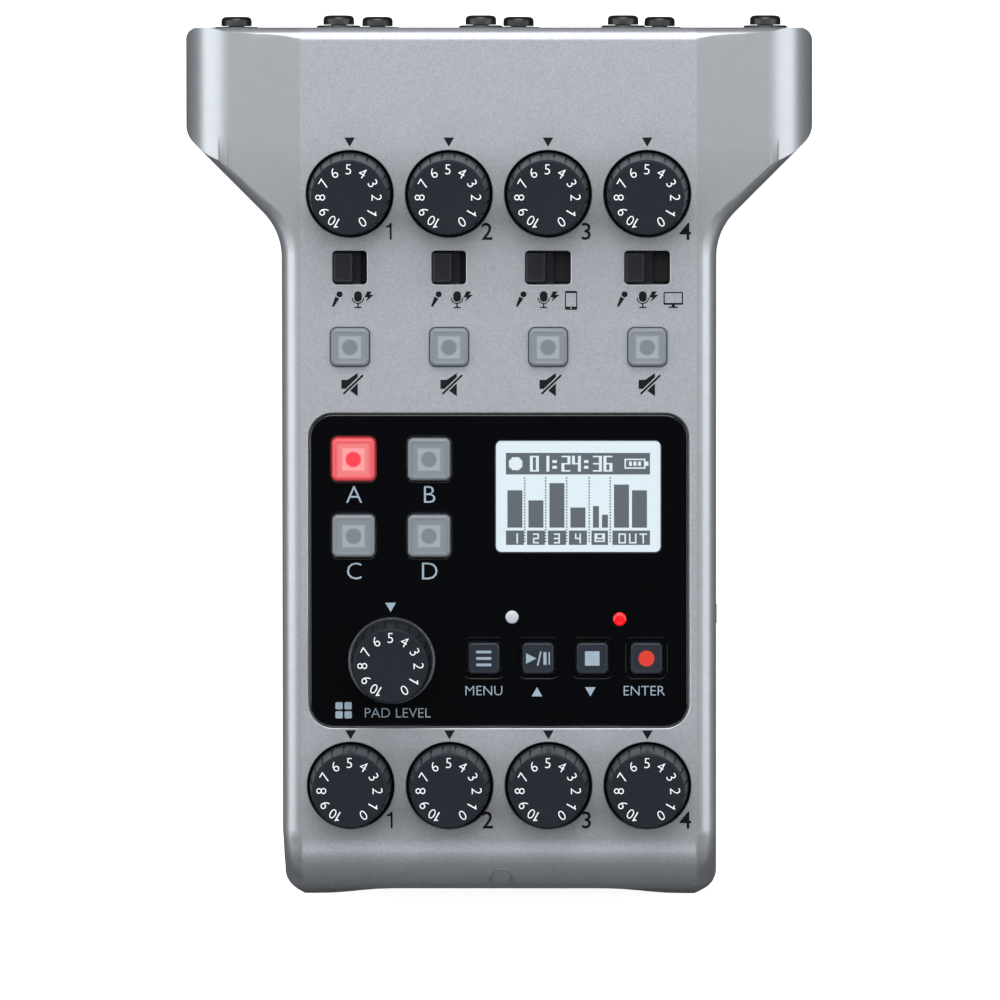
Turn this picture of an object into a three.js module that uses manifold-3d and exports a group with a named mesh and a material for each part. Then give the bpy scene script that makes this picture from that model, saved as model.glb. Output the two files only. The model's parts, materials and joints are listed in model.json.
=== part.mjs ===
// Podcast recorder with four microphone channels, as separate pieces in millimetres.
// +Z is up, the microphone jacks face +Y and the headphone jacks face -Y.
import * as THREE from 'three'
import { mergeVertices } from 'three/addons/utils/BufferGeometryUtils.js'
import Module from 'manifold-3d'

const wasm = await Module()
wasm.setup()

// Body seen from above
const bodyDepth = 155
const wingWidth = 112
const neckWidth = 77.6
const wingLength = 19.1
const shoulderRadius = 11.5
const wingCornerRadius = 4.5
const rearCornerRadius = 2.2
const frontCornerRadius = 4
const frontHollowDepth = 1
const frontHollowHalf = 22
const frontRampLength = 8
const frontRampRadius = 55
const sharpestRadius = 0.4

// Body seen from the side
const rearHeight = 38.6
const deckFall = 10.3
const footLift = 1.2
const seamHeight = 4.5
const seamGap = 0.3
const shellWall = 2.2
const neckEdgeRadius = 3.4
const wingEdgeRadius = 7
const wingDroop = 0.9
const frontRollRadius = 9.5
const rearEdgeRadius = 1.4

// Fits and cutting
const clearance = 0.3
const slideGap = 0.15
const weldDistance = 0.0001
const overrun = 5
const smallRadius = 2.1
const arcSteps = 5
const smallArcSteps = 2
const edgeSteps = 3
const roundSteps = 20
const middleSteps = 12
const smallSteps = 8

// Channel columns of the deck, and its rows from the rear and front edges
const columnShares = [-1.5, -0.5, 0.5, 1.5]
const channelPitch = 17.7
const gainRowInset = 29.6
const switchRowInset = 42.8
const muteRowInset = 57
const volumeRowInset = 19.3

// Level knobs
const knobHeight = 10
const knobTopRadius = 6.35
const knobBaseRadius = 7.35
const knobSkirtDepth = 1.4
const knobSkirtHeight = 0.7
const knobEdgeHeight = 0.6
const knobEdgeReach = 0.35
const knobFluteDepth = 0.4
const knobHoleRadius = 7.8
const knobFluteCount = 20
const shaftRadius = 3

// Press buttons
const pressTravel = 1
const muteWidth = 6.85
const muteCornerRadius = 1.15
const soundPadWidth = 7.6
const soundPadCornerRadius = 1
const buttonRise = 1.2
const keyWidth = 5.55
const keyCornerRadius = 0.8
const keyRise = 0.7
const flangeReach = 0.7
const flangeThickness = 1
const buttonStemRadius = 1.4

// Input selector switches
const leverWidth = 3.4
const leverLength = 5.4
const leverRise = 0.5
const twoWayTravel = 2.4
const threeWayTravel = 4.4
const leverPlateReach = 1.4
const leverPlateThickness = 1
const leverStemWidth = 1.6

// Gloss control panel in the deck
const panelWidth = 67.6
const panelLength = 56
const panelCornerRadius = 4.2
const panelFrontInset = 29.9
const panelThickness = 1.2
const panelSink = 0.1
const panelLedge = 2
const padCentreX = -19.2
const padRearInset = 14.85
const padPitchX = 13.5
const padPitchY = 13.75
const padKnobInset = 11.8
const firstKeyX = -2.7
const keyPitch = 9.7
const keyRowInset = 12.3

// Display
const displayX = 14.2
const displayRearInset = 14.7
const displayWidth = 29.5
const displayLength = 20
const displayCornerRadius = 1
const displayFrameReach = 1.8
const displayFrameThickness = 3.4
const displayLegRadius = 1.3

// Main board and what is soldered on it
const boardDrop = 9
const boardThickness = 1.6
const boardEdgeGap = 0.6
const boardRearInset = 26.5
const boardFrontInset = 11.5
const boardBossRadius = 2.4
const boardBossInset = 4
const middleBossY = -6
const potWidth = 9.5
const potHeight = 4.8
const potFloor = 0.6
const tactWidth = 4.5
const tactHeight = 1.2
const switchBodyWidth = 12
const switchBodyLength = 6
const switchBodyHeight = 3.2

// Ports in the sides
const portSetback = 0.5
const usbWidth = 8.9
const usbHeight = 3.2
const usbDepth = 7.4
const usbCornerRadius = 1.3
const usbSkin = 0.35
const usbTongueWidth = 6.6
const usbTongueHeight = 0.7
const usbTongueDepth = 4.6
const leftUsbY = -4
const rightUsbY = -10
const phoneJackY = 15
const miniJackWidth = 6.6
const miniJackDepth = 12
const miniJackHeight = 5.8
const miniNoseRadius = 2.9
const miniBoreRadius = 1.8

// Memory card, its socket and its door
const cardY = 15
const cardWidth = 24
const cardLength = 32
const cardThickness = 2.1
const cardSetback = 3.4
const cardPush = 0.8
const socketSkin = 0.7
const socketMouthSetback = 2.6
const cardDoorLength = 28
const cardDoorHeight = 6
const cardDoorThickness = 1.5
const doorPinRadius = 0.35
const doorPinLength = 1

// Power switch
const powerY = -27
const powerDrop = 3.4
const powerKnobLength = 3.4
const powerKnobHeight = 2.4
const powerKnobRise = 0.9
const powerTravel = 3
const powerPlateReach = 1.2
const powerPlateThickness = 1.1
const powerBodyDepth = 4.4

// Microphone jacks in the rear face
const jackPitch = 25.4
const jackHeight = 20.5
const jackRadius = 11
const jackDepth = 20
const jackBackWall = 2.4
const jackBoreRadius = 9.6
const jackInsertRadius = 7.9
const jackInsertSetback = 1
const jackEarX = 9.5
const jackEarY = 12
const jackEarRadius = 3.9
const jackEarThickness = 1.2
const jackEarProud = 0.4
const jackEarLinkHalf = 2.6
const pinHoleRadius = 1.3
const pinHoleDepth = 9
const pinCircleRadius = 4
const latchHousingWidth = 8
const latchHousingRise = 3.1
const latchWidth = 5.4
const latchThickness = 1.7
const latchLength = 9
const latchTravel = 1.5
const latchSeat = 0.2
const screwHeadRadius = 2.75
const screwHeadHeight = 1.8
const screwCrownHeight = 0.6
const screwShankRadius = 1.4
const screwLength = 7
const screwRecessWidth = 0.7
const screwRecessLength = 3
const screwRecessDepth = 0.8
const screwBossRadius = 3.1
const screwBossLength = 6.5

// Headphone jacks in the front face
const phonesHeight = 13
const phonesBoardDepth = 14
const phonesBoardThickness = 1.6
const phonesBoardReach = 5
const phonesPostRadius = 2
const phonesPostInset = 9

// Bottom shell and battery bay
const bottomInset = 0.4
const bottomFloor = 2
const bottomEdge = 0.9
const cellRadius = 7.1
const cellLength = 49.2
const cellNippleRadius = 2.6
const cellNippleLength = 1.3
const bayCentreY = -18
const baySkin = 1
const contactThickness = 0.5
const contactWidth = 9
const contactHeight = 11
const springRadius = 3
const springTipRadius = 1.8
const springHeight = 2
const doorThickness = 1.8
const doorReach = 1.3
const doorTongueReach = 1
const doorTongueThickness = 0.9
const doorGripCount = 4
const doorGripPitch = 2.2
const doorGripWidth = 1
const doorGripLength = 14
const doorGripDepth = 0.5
const footRadius = 5
const footPocket = 0.6
const footInset = 9

// Worked out from the sizes above
const rearY = bodyDepth / 2
const frontY = -rearY
const deckSlope = deckFall / bodyDepth
const deckAngle = Math.atan(deckSlope)
const deckHeight = rearHeight - rearY * deckSlope
const bodyReach = bodyDepth + wingWidth
const neckHalf = neckWidth / 2
const channelXs = columnShares.map((share) => share * channelPitch)
const jackXs = columnShares.map((share) => share * jackPitch)
const gainRowY = rearY - gainRowInset
const switchRowY = rearY - switchRowInset
const muteRowY = rearY - muteRowInset
const volumeRowY = frontY + volumeRowInset
const panelFrontY = frontY + panelFrontInset
const panelRearY = panelFrontY + panelLength
const panelCentreY = (panelFrontY + panelRearY) / 2
const padCentreY = panelRearY - padRearInset
const padKnobY = panelFrontY + padKnobInset
const keyRowY = panelFrontY + keyRowInset
const displayY = panelRearY - displayRearInset
const boardRearY = rearY - boardRearInset
const boardFrontY = frontY + boardFrontInset
const switchTravels = [twoWayTravel, twoWayTravel, threeWayTravel, threeWayTravel]
const boardTop = -boardDrop
const boardBottom = boardTop - boardThickness
const boardHalf = neckHalf - shellWall - boardEdgeGap
const panelUnderside = -panelSink - panelThickness
const stemBottom = boardTop + tactHeight + pressTravel + clearance
const portFace = neckHalf - portSetback
const floorTop = footLift + bottomFloor
const doorTop = footLift + doorThickness
const cellHeight = doorTop + clearance + cellRadius
const cellOffsetY = cellRadius + clearance
const bayHalfX = cellLength / 2 + cellNippleLength + springHeight + contactThickness + clearance
const bayHalfY = cellOffsetY + cellRadius + clearance
const bayRoof = cellHeight + cellRadius + clearance
const screwTop = jackEarProud + screwHeadHeight
const frontFaceY = frontY + frontHollowDepth

const soundPads = [
  ['sound_pad_a', padCentreX - padPitchX / 2, padCentreY + padPitchY / 2],
  ['sound_pad_b', padCentreX + padPitchX / 2, padCentreY + padPitchY / 2],
  ['sound_pad_c', padCentreX - padPitchX / 2, padCentreY - padPitchY / 2],
  ['sound_pad_d', padCentreX + padPitchX / 2, padCentreY - padPitchY / 2],
]
const keyNames = ['menu_key', 'play_key', 'stop_key', 'record_key']
const keys = keyNames.map((name, index) => [name, firstKeyX + index * keyPitch, keyRowY])
const knobs = [
  ...channelXs.map((x, index) => [`gain_knob_${index + 1}`, x, gainRowY]),
  ...channelXs.map((x, index) => [`volume_knob_${index + 1}`, x, volumeRowY]),
  ['pad_level_knob', padCentreX, padKnobY],
]
const boardBosses = [boardRearY - boardBossInset, middleBossY, boardFrontY + boardBossInset]
  .flatMap((y) => [-1, 1].map((side) => [side * (boardHalf - boardBossInset / 2), y]))

// Materials
const finish = (color, roughness, metalness) =>
  new THREE.MeshStandardMaterial({ color, roughness, metalness })
const silverPaint = finish('#b4b9bd', 0.45, 0.6)
const darkPlastic = finish('#2b2d30', 0.6, 0)
const panelGloss = finish('#0b0c0f', 0.12, 0)
const displayGlass = finish('#dfe8ee', 0.2, 0)
const knobPlastic = finish('#2c3038', 0.5, 0)
const jackPlastic = finish('#191a1c', 0.5, 0)
const silicone = finish('#8f9497', 0.6, 0)
const litSilicone = finish('#f0433c', 0.5, 0)
const keyPlastic = finish('#1d1f24', 0.4, 0)
const circuitBoard = finish('#1f5a3a', 0.5, 0.1)
const blackSteel = finish('#303133', 0.35, 0.8)
const springSteel = finish('#c9ccce', 0.3, 1)
const cellWrap = finish('#39424d', 0.4, 0.3)
const cardPlastic = finish('#22252a', 0.5, 0)
const footRubber = finish('#1a1a1a', 0.9, 0)

// Solids: a closed three.js geometry goes in, joins and cuts work on it, and a geometry comes out
function solid(geometry) {
  const welded = geometry.attributes.normal ? weldedCopy(geometry) : geometry
  return new wasm.Manifold(new wasm.Mesh({
    numProp: 3,
    vertProperties: new Float32Array(welded.attributes.position.array),
    triVerts: new Uint32Array(welded.index.array),
  }))
}

function weldedCopy(geometry) {
  const bare = geometry.clone()
  bare.deleteAttribute('normal')
  bare.deleteAttribute('uv')
  return mergeVertices(bare, weldDistance)
}

function geometryOf(body) {
  const mesh = body.getMesh()
  const geometry = new THREE.BufferGeometry()
  geometry.setAttribute('position', new THREE.BufferAttribute(mesh.vertProperties, mesh.numProp))
  geometry.setIndex(new THREE.BufferAttribute(mesh.triVerts, 1))
  return geometry
}

const joined = (bodies) => bodies.reduce((whole, next) => whole.add(next))
const cut = (body, cutters) => cutters.reduce((rest, cutter) => rest.subtract(cutter), body)

// A closed outline from corners given as [x, y, radius]
function roundedOutline(corners) {
  return corners.flatMap(([x, y, radius], index) => {
    const corner = new THREE.Vector2(x, y)
    if (!radius) return [corner]
    const [beforeX, beforeY] = corners.at(index - 1)
    const [afterX, afterY] = corners[(index + 1) % corners.length]
    const toBefore = new THREE.Vector2(beforeX, beforeY).sub(corner).normalize()
    const toAfter = new THREE.Vector2(afterX, afterY).sub(corner).normalize()
    const half = Math.acos(THREE.MathUtils.clamp(toBefore.dot(toAfter), -1, 1)) / 2
    const middle = toBefore.clone().add(toAfter).normalize().multiplyScalar(radius / Math.sin(half))
    const centre = corner.clone().add(middle)
    const start = corner.clone().addScaledVector(toBefore, radius / Math.tan(half)).sub(centre)
    const turn = Math.sign(toAfter.cross(toBefore)) * (Math.PI - 2 * half)
    const steps = radius < smallRadius ? smallArcSteps : arcSteps
    return Array.from({ length: steps + 1 }, (_, step) =>
      start.clone().rotateAround(new THREE.Vector2(), turn * step / steps).add(centre))
  })
}

// A flat outline raised from one height to another
function raised(outline, low, high) {
  const shape = new THREE.Shape(outline)
  return new THREE.ExtrudeGeometry(shape, { depth: high - low, bevelEnabled: false }).translate(0, 0, low)
}

function roundedBox(width, length, radius, low, high, x = 0, y = 0) {
  const corners = [[1, -1], [1, 1], [-1, 1], [-1, -1]]
    .map(([right, up]) => [x + right * width / 2, y + up * length / 2, radius])
  return raised(roundedOutline(corners), low, high)
}

// A block between two opposite corners
function block([lowX, lowY, lowZ], [highX, highY, highZ]) {
  return new THREE.BoxGeometry(highX - lowX, highY - lowY, highZ - lowZ)
    .translate((lowX + highX) / 2, (lowY + highY) / 2, (lowZ + highZ) / 2)
}

// A round bar along Z
function bar(radius, low, high, x = 0, y = 0, steps = smallSteps, topRadius = radius) {
  return new THREE.CylinderGeometry(topRadius, radius, high - low, steps)
    .rotateX(Math.PI / 2)
    .translate(x, y, (low + high) / 2)
}

// A round bar along X
function crossBar(radius, low, high, y, z, steps = smallSteps) {
  return new THREE.CylinderGeometry(radius, radius, high - low, steps)
    .rotateZ(Math.PI / 2)
    .translate((low + high) / 2, y, z)
}

// Frames that carry pieces: the sloping deck and the rear face
function frame(x, y, z, turnX, turnZ) {
  const group = new THREE.Group()
  group.position.set(x, y, z)
  group.rotation.set(turnX, 0, turnZ)
  group.updateMatrix()
  return group
}

const recorder = new THREE.Group()
recorder.position.y = -screwTop / 2
const deck = frame(0, 0, deckHeight, deckAngle, 0)
const rear = frame(0, rearY, jackHeight, -Math.PI / 2, Math.PI)
recorder.add(deck, rear)

const onDeck = (geometry) => solid(geometry.applyMatrix4(deck.matrix))
const onRear = (geometry) => solid(geometry.applyMatrix4(rear.matrix))

function add(parent, name, body, material, x = 0, y = 0, z = 0) {
  const mesh = new THREE.Mesh(body.isBufferGeometry ? body : geometryOf(body), material.clone())
  mesh.name = name
  mesh.position.set(x, y, z)
  parent.add(mesh)
}

// The body from above: front hollow, straight neck, slanted shoulders and a wide rear block
function bodyOutline(inset, rearReach = 0) {
  const neck = neckHalf - inset
  const wing = wingWidth / 2 - inset
  const front = frontY + inset
  const rearEdge = rearY - inset + rearReach
  const slantY = (x) => x + rearY - wingLength - wingWidth / 2 + inset * Math.SQRT2
  const outer = (radius) => Math.max(radius - inset, sharpestRadius)
  const right = [
    [frontHollowHalf, front + frontHollowDepth, frontRampRadius],
    [frontHollowHalf + frontRampLength, front, frontRampRadius],
    [neck, front, outer(frontCornerRadius)],
    [neck, slantY(neck), shoulderRadius + inset],
    [wing, slantY(wing), outer(wingCornerRadius)],
    [wing, rearEdge, outer(rearCornerRadius) + 2 * rearReach],
  ]
  const left = right.map(([x, y, radius]) => [-x, y, radius]).reverse()
  return roundedOutline([...right, ...left])
}

// The outer form drawn in by an inset, open downwards, before the deck is sloped
function bodyForm(inset) {
  const deep = -rearHeight - overrun
  const roll = Math.max(neckEdgeRadius - inset, sharpestRadius)
  const shape = new THREE.Shape(bodyOutline(inset, roll))
  const plan = new THREE.ExtrudeGeometry(shape, {
    depth: -deep - roll,
    bevelThickness: roll,
    bevelSize: roll,
    bevelOffset: -roll,
    bevelSegments: edgeSteps,
  }).translate(0, 0, deep - inset)
  const wing = wingWidth / 2 - inset
  const crease = neckHalf - neckEdgeRadius
  const wingEdge = [wing, -wingDroop - inset, wingEdgeRadius - inset]
  const roof = raised(roundedOutline([
    [crease, -inset, 0], [-crease, -inset, 0], [-wingEdge[0], wingEdge[1], wingEdge[2]],
    [-wing, deep, 0], [wing, deep, 0], wingEdge,
  ]), -bodyReach, bodyReach).rotateX(Math.PI / 2)
  const side = raised(roundedOutline([
    [rearY - inset, deep, 0],
    [rearY - inset, -inset, Math.max(rearEdgeRadius - inset, sharpestRadius)],
    [frontY + inset, -inset, frontRollRadius - inset],
    [frontY + inset, deep, 0],
  ]), -bodyReach, bodyReach).rotateX(Math.PI / 2).rotateZ(Math.PI / 2)
  const walls = raised(bodyOutline(inset), deep, overrun)
  const flat = [walls, roof, side].reduce((form, next) => form.intersect(solid(next)), solid(plan))
  const slope = new THREE.Matrix4().set(1, 0, 0, 0, 0, 1, 0, 0, 0, deckSlope, 1, deckHeight, 0, 0, 0, 1)
  return solid(geometryOf(flat).applyMatrix4(slope))
}

// Where a screw ear of a microphone jack lies, seen from behind
const jackEars = [[-jackEarX, jackEarY], [jackEarX, -jackEarY]]

// The face of a microphone jack: a disc, two ears and the housing of the release latch
function jackFace(grow, low, high) {
  const ears = jackEars.flatMap(([x, y]) => {
    const angle = Math.atan2(y, x)
    const link = block(
      [0, -jackEarLinkHalf - grow, low],
      [Math.hypot(x, y), jackEarLinkHalf + grow, high],
    ).rotateZ(angle)
    return [solid(link), solid(bar(jackEarRadius + grow, low, high, x, y, middleSteps))]
  })
  return joined([solid(bar(jackRadius + grow, low, high, 0, 0, roundSteps)), ...ears])
}

function latchHousing(grow, low, high) {
  const half = latchHousingWidth / 2 + grow
  return block([-half, 0, low], [half, jackBoreRadius + latchHousingRise + grow, high])
}

function moved(body, x, y, z) {
  return solid(geometryOf(body).translate(x, y, z))
}

// Openings of the deck, each cut at a right angle to it
function deckCutters() {
  const through = -shellWall - overrun
  const ledgeWidth = panelWidth - 2 * panelLedge
  const ledgeLength = panelLength - 2 * panelLedge
  const cornerInside = Math.max(panelCornerRadius - panelLedge, sharpestRadius)
  return [
    roundedBox(panelWidth + 2 * clearance, panelLength + 2 * clearance, panelCornerRadius + clearance,
      panelUnderside - clearance, overrun, 0, panelCentreY),
    roundedBox(ledgeWidth, ledgeLength, cornerInside, through, overrun, 0, panelCentreY),
    ...knobs.map(([, x, y]) => bar(knobHoleRadius, through, overrun, x, y, roundSteps)),
    ...channelXs.map((x) => roundedBox(muteWidth + 2 * clearance, muteWidth + 2 * clearance,
      muteCornerRadius + clearance, through, overrun, x, muteRowY)),
    ...channelXs.map((x, index) => roundedBox(leverWidth + switchTravels[index] + 2 * slideGap,
      leverLength + 2 * clearance, sharpestRadius, through, overrun, x, switchRowY)),
  ].map(onDeck)
}

const portMiddle = (height) => boardBottom - height / 2
const socketHeight = cardThickness + 2 * (socketSkin + clearance)
const cardMiddle = portMiddle(socketHeight)
const powerMiddle = boardBottom - powerDrop
const powerSlotHalf = (powerKnobLength + powerTravel) / 2 + slideGap
const doorAxisX = neckHalf - cardDoorThickness / 2
const doorAxisZ = cardMiddle - cardDoorHeight / 2 + cardDoorThickness / 2

// Openings of both sides, cut in line with the sloping main board
function sideCutters() {
  const outside = neckHalf + overrun
  const inside = boardHalf
  const usbHoleWidth = usbWidth + 2 * clearance
  const usbHoleHeight = usbHeight + 2 * clearance
  const usbHole = (side, y) => roundedBox(usbHoleWidth, usbHoleHeight, usbCornerRadius, inside, outside)
    .applyMatrix4(sideways(side, y, portMiddle(usbHeight)))
  const doorHalf = cardDoorLength / 2 + clearance
  const doorHeightHalf = cardDoorHeight / 2 + clearance
  const pinReach = cardDoorLength / 2 + doorPinLength + clearance
  const pinHalf = doorPinRadius + slideGap
  return [
    usbHole(-1, leftUsbY),
    usbHole(1, rightUsbY),
    crossBar(miniNoseRadius + clearance, -outside, -inside, phoneJackY, portMiddle(miniJackHeight)),
    block([inside, cardY - doorHalf, cardMiddle - doorHeightHalf],
      [outside, cardY + doorHalf, cardMiddle + doorHeightHalf]),
    block([inside, cardY - pinReach, doorAxisZ - pinHalf],
      [doorAxisX + pinHalf, cardY + pinReach, doorAxisZ + pinHalf]),
    block([inside, powerY - powerSlotHalf, powerMiddle - powerKnobHeight / 2 - slideGap],
      [outside, powerY + powerSlotHalf, powerMiddle + powerKnobHeight / 2 + slideGap]),
  ].map(onDeck)
}

// Turns something that points along +Z so that it points out of the left or right side
function sideways(side, y, z) {
  const matrix = new THREE.Matrix4().makeBasis(
    new THREE.Vector3(0, side, 0), new THREE.Vector3(0, 0, 1), new THREE.Vector3(side, 0, 0))
  return matrix.setPosition(0, y, z)
}

function rearCutters() {
  const seat = -jackEarThickness - clearance
  return jackXs.flatMap((x) => [
    moved(jackFace(clearance, seat, overrun), x, 0, 0),
    solid(bar(jackRadius + clearance, -shellWall - overrun, overrun, x, 0, roundSteps)),
    solid(latchHousing(clearance, -shellWall - overrun, overrun).translate(x, 0, 0)),
    ...jackEars.map(([earX, earY]) =>
      solid(bar(screwShankRadius + slideGap, -screwLength - clearance, overrun, x + earX, earY))),
  ]).map((cutter) => onRear(geometryOf(cutter)))
}

function topShell() {
  const seam = block([-bodyReach, -bodyReach, -bodyReach], [bodyReach, bodyReach, seamHeight])
  const bosses = boardBosses.map(([x, y]) =>
    onDeck(bar(boardBossRadius, boardTop + clearance, -shellWall / 2, x, y)))
  const screwBosses = jackXs.flatMap((x) => jackEars.map(([earX, earY]) =>
    onRear(bar(screwBossRadius, -shellWall - screwBossLength, -shellWall / 2, x + earX, earY))))
  const insideJacks = jackXs.map((x) =>
    onRear(bar(jackRadius + clearance, -jackDepth - overrun, overrun, x, 0, roundSteps)))
  const phonesHoles = channelXs.map((x) => solid(
    bar(miniNoseRadius + clearance, -overrun - frontHollowDepth, shellWall + overrun)
      .rotateX(-Math.PI / 2).translate(x, frontFaceY, phonesHeight)))
  const hollow = bodyForm(shellWall)
  const shell = joined([bodyForm(0).subtract(hollow), ...bosses, ...screwBosses])
  return cut(shell, [solid(seam), ...deckCutters(), ...sideCutters(), ...rearCutters(),
    ...insideJacks, ...phonesHoles])
}

// Bottom shell: a shallow tray with the battery bay standing in it
const bayOuterX = bayHalfX + baySkin
const bayOuterY = bayHalfY + doorReach + doorTongueReach + clearance + baySkin
const doorHalfY = bayHalfY + doorReach
const doorInnerX = -bayHalfX - doorReach
const doorOuterX = neckHalf - bottomInset
const feetPlaces = [
  [neckHalf - footInset, frontY + footInset],
  [-neckHalf + footInset, frontY + footInset],
  [wingWidth / 2 - footInset, rearY - footInset],
  [-wingWidth / 2 + footInset, rearY - footInset],
]
const phonesBoardTop = phonesHeight - miniJackHeight / 2
const phonesBoardY = frontFaceY + shellWall + 2 * clearance
const phonesBoardHalf = channelXs[3] + phonesBoardReach
const phonesPosts = [-1, 1].map((side) =>
  [side * (phonesBoardHalf - phonesPostInset), phonesBoardY + phonesBoardDepth - phonesPostRadius])

function bottomShell() {
  const top = seamHeight - seamGap
  const tray = new THREE.ExtrudeGeometry(new THREE.Shape(bodyOutline(bottomInset)), {
    depth: top - footLift,
    bevelThickness: bottomEdge,
    bevelSize: bottomEdge,
    bevelOffset: -bottomEdge,
    bevelSegments: smallArcSteps,
  }).translate(0, 0, footLift + bottomEdge)
  const lid = block([-bodyReach, -bodyReach, top], [bodyReach, bodyReach, bodyReach])
  const pocket = raised(bodyOutline(bottomInset + shellWall), floorTop, bodyReach)
  const bay = block([-bayOuterX, bayCentreY - bayOuterY, footLift],
    [bayOuterX, bayCentreY + bayOuterY, bayRoof + baySkin])
  const rails = block([bayOuterX - baySkin, bayCentreY - bayOuterY, footLift + doorTongueThickness],
    [doorOuterX - shellWall / 2, bayCentreY + bayOuterY, top])
  const posts = phonesPosts.map(([x, y]) => solid(
    bar(phonesPostRadius, floorTop - bottomFloor / 2,
      phonesBoardTop - phonesBoardThickness - clearance, x, y)))
  const cells = block([-bayHalfX, bayCentreY - bayHalfY, -overrun],
    [bayHalfX, bayCentreY + bayHalfY, bayRoof])
  const doorSeat = block([doorInnerX - clearance, bayCentreY - doorHalfY - clearance, -overrun],
    [doorOuterX + overrun, bayCentreY + doorHalfY + clearance, doorTop + clearance])
  const tongue = doorHalfY + doorTongueReach + clearance
  const grooves = block(
    [doorInnerX - clearance, bayCentreY - tongue, doorTop - doorTongueThickness - clearance],
    [doorOuterX + overrun, bayCentreY + tongue, doorTop + clearance])
  const footPockets = feetPlaces.map(([x, y]) =>
    solid(bar(footRadius + clearance, -overrun, footLift + footPocket, x, y, roundSteps)))
  const shell = joined([cut(solid(tray), [solid(lid), solid(pocket)]), solid(bay), solid(rails), ...posts])
  return cut(shell, [solid(cells), solid(doorSeat), solid(grooves), ...footPockets])
}

function batteryDoor() {
  const low = footLift
  const plate = block([doorInnerX, bayCentreY - doorHalfY, low],
    [doorOuterX, bayCentreY + doorHalfY, doorTop])
  const tongue = doorHalfY + doorTongueReach
  const tongues = block([doorInnerX, bayCentreY - tongue, doorTop - doorTongueThickness],
    [doorOuterX - shellWall, bayCentreY + tongue, doorTop])
  const grips = Array.from({ length: doorGripCount }, (_, index) => {
    const x = doorOuterX - shellWall - index * doorGripPitch
    return solid(block([x - doorGripWidth, bayCentreY - doorGripLength / 2, low - overrun],
      [x, bayCentreY + doorGripLength / 2, low + doorGripDepth]))
  })
  return cut(joined([solid(plate), solid(tongues)]), grips)
}

// Battery cells lie along X, head to tail
function batteryCell() {
  const half = cellLength / 2
  return joined([
    solid(crossBar(cellRadius, -half, half, 0, 0, roundSteps)),
    solid(crossBar(cellNippleRadius, half - overrun, half + cellNippleLength, 0, 0)),
  ])
}

// A contact plate along Y at the end of the bay, with a spring on one spot and a button on another
function contact(springY, buttonY, side) {
  const ys = [springY, buttonY].filter((y) => y !== null)
  const plateX = bayHalfX - clearance / 2
  const plate = block([plateX - contactThickness, Math.min(...ys) - contactWidth / 2, -contactHeight / 2],
    [plateX, Math.max(...ys) + contactWidth / 2, contactHeight / 2])
  const parts = [solid(plate)]
  const tip = cellLength / 2 + clearance
  if (springY !== null) {
    const spring = bar(springRadius, 0, plateX - contactThickness / 2 - tip, 0, 0,
      smallSteps, springTipRadius)
    parts.push(solid(spring.rotateY(-Math.PI / 2).translate(plateX - contactThickness / 2, springY, 0)))
  }
  if (buttonY !== null) {
    const start = tip + cellNippleLength
    parts.push(solid(crossBar(springRadius, start, plateX - contactThickness / 2, buttonY, 0)))
  }
  const whole = geometryOf(joined(parts))
  return side > 0 ? whole : whole.rotateZ(Math.PI)
}

// Level knob with its shaft: a skirt in the deck's round well and a tapered, fluted grip
function levelKnob(wellBottom) {
  const profile = [
    [0, wellBottom], [shaftRadius, wellBottom], [shaftRadius, -knobSkirtDepth],
    [knobBaseRadius, -knobSkirtDepth], [knobBaseRadius, knobSkirtHeight],
    [knobTopRadius + knobEdgeReach, knobHeight - knobEdgeHeight], [knobTopRadius, knobHeight],
    [0, knobHeight],
  ].map(([radius, height]) => new THREE.Vector2(radius, height))
  const geometry = new THREE.LatheGeometry(profile, 2 * knobFluteCount).rotateX(Math.PI / 2)
  const points = geometry.attributes.position
  for (let index = 0; index < points.count; index += 1) {
    const angle = Math.atan2(points.getY(index), points.getX(index))
    const reach = Math.hypot(points.getX(index), points.getY(index))
    const fluted = points.getZ(index) > knobSkirtHeight && reach > knobTopRadius
    const dent = fluted ? knobFluteDepth * (1 - Math.cos(knobFluteCount * angle)) / 2 : 0
    const share = reach > 0 ? (reach - dent) / reach : 1
    points.setX(index, points.getX(index) * share)
    points.setY(index, points.getY(index) * share)
  }
  return solid(geometry)
}

// A press button: cap in the hole, flange under the wall that keeps it in, and a stem
function pressButton(width, radius, rise, wallUnderside) {
  const flangeTop = wallUnderside - clearance
  const flangeWidth = width + 2 * (clearance + flangeReach)
  return joined([
    solid(roundedBox(width, width, radius, flangeTop - flangeThickness / 2, rise)),
    solid(roundedBox(flangeWidth, flangeWidth, radius, flangeTop - flangeThickness, flangeTop)),
    solid(bar(buttonStemRadius, stemBottom, flangeTop - flangeThickness / 2)),
  ])
}

// The lever of an input switch: cap in the slot, a plate under the deck and a stem
function switchLever() {
  const plateTop = -shellWall - clearance
  const plateX = leverWidth / 2 + leverPlateReach
  const plateY = leverLength / 2 + leverPlateReach
  const half = leverStemWidth / 2
  const stemLow = boardTop + switchBodyHeight + clearance
  return joined([
    solid(block([-leverWidth / 2, -leverLength / 2, plateTop - leverPlateThickness / 2],
      [leverWidth / 2, leverLength / 2, leverRise])),
    solid(block([-plateX, -plateY, plateTop - leverPlateThickness], [plateX, plateY, plateTop])),
    solid(block([-half, -half, stemLow], [half, half, plateTop - leverPlateThickness / 2])),
  ])
}

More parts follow.
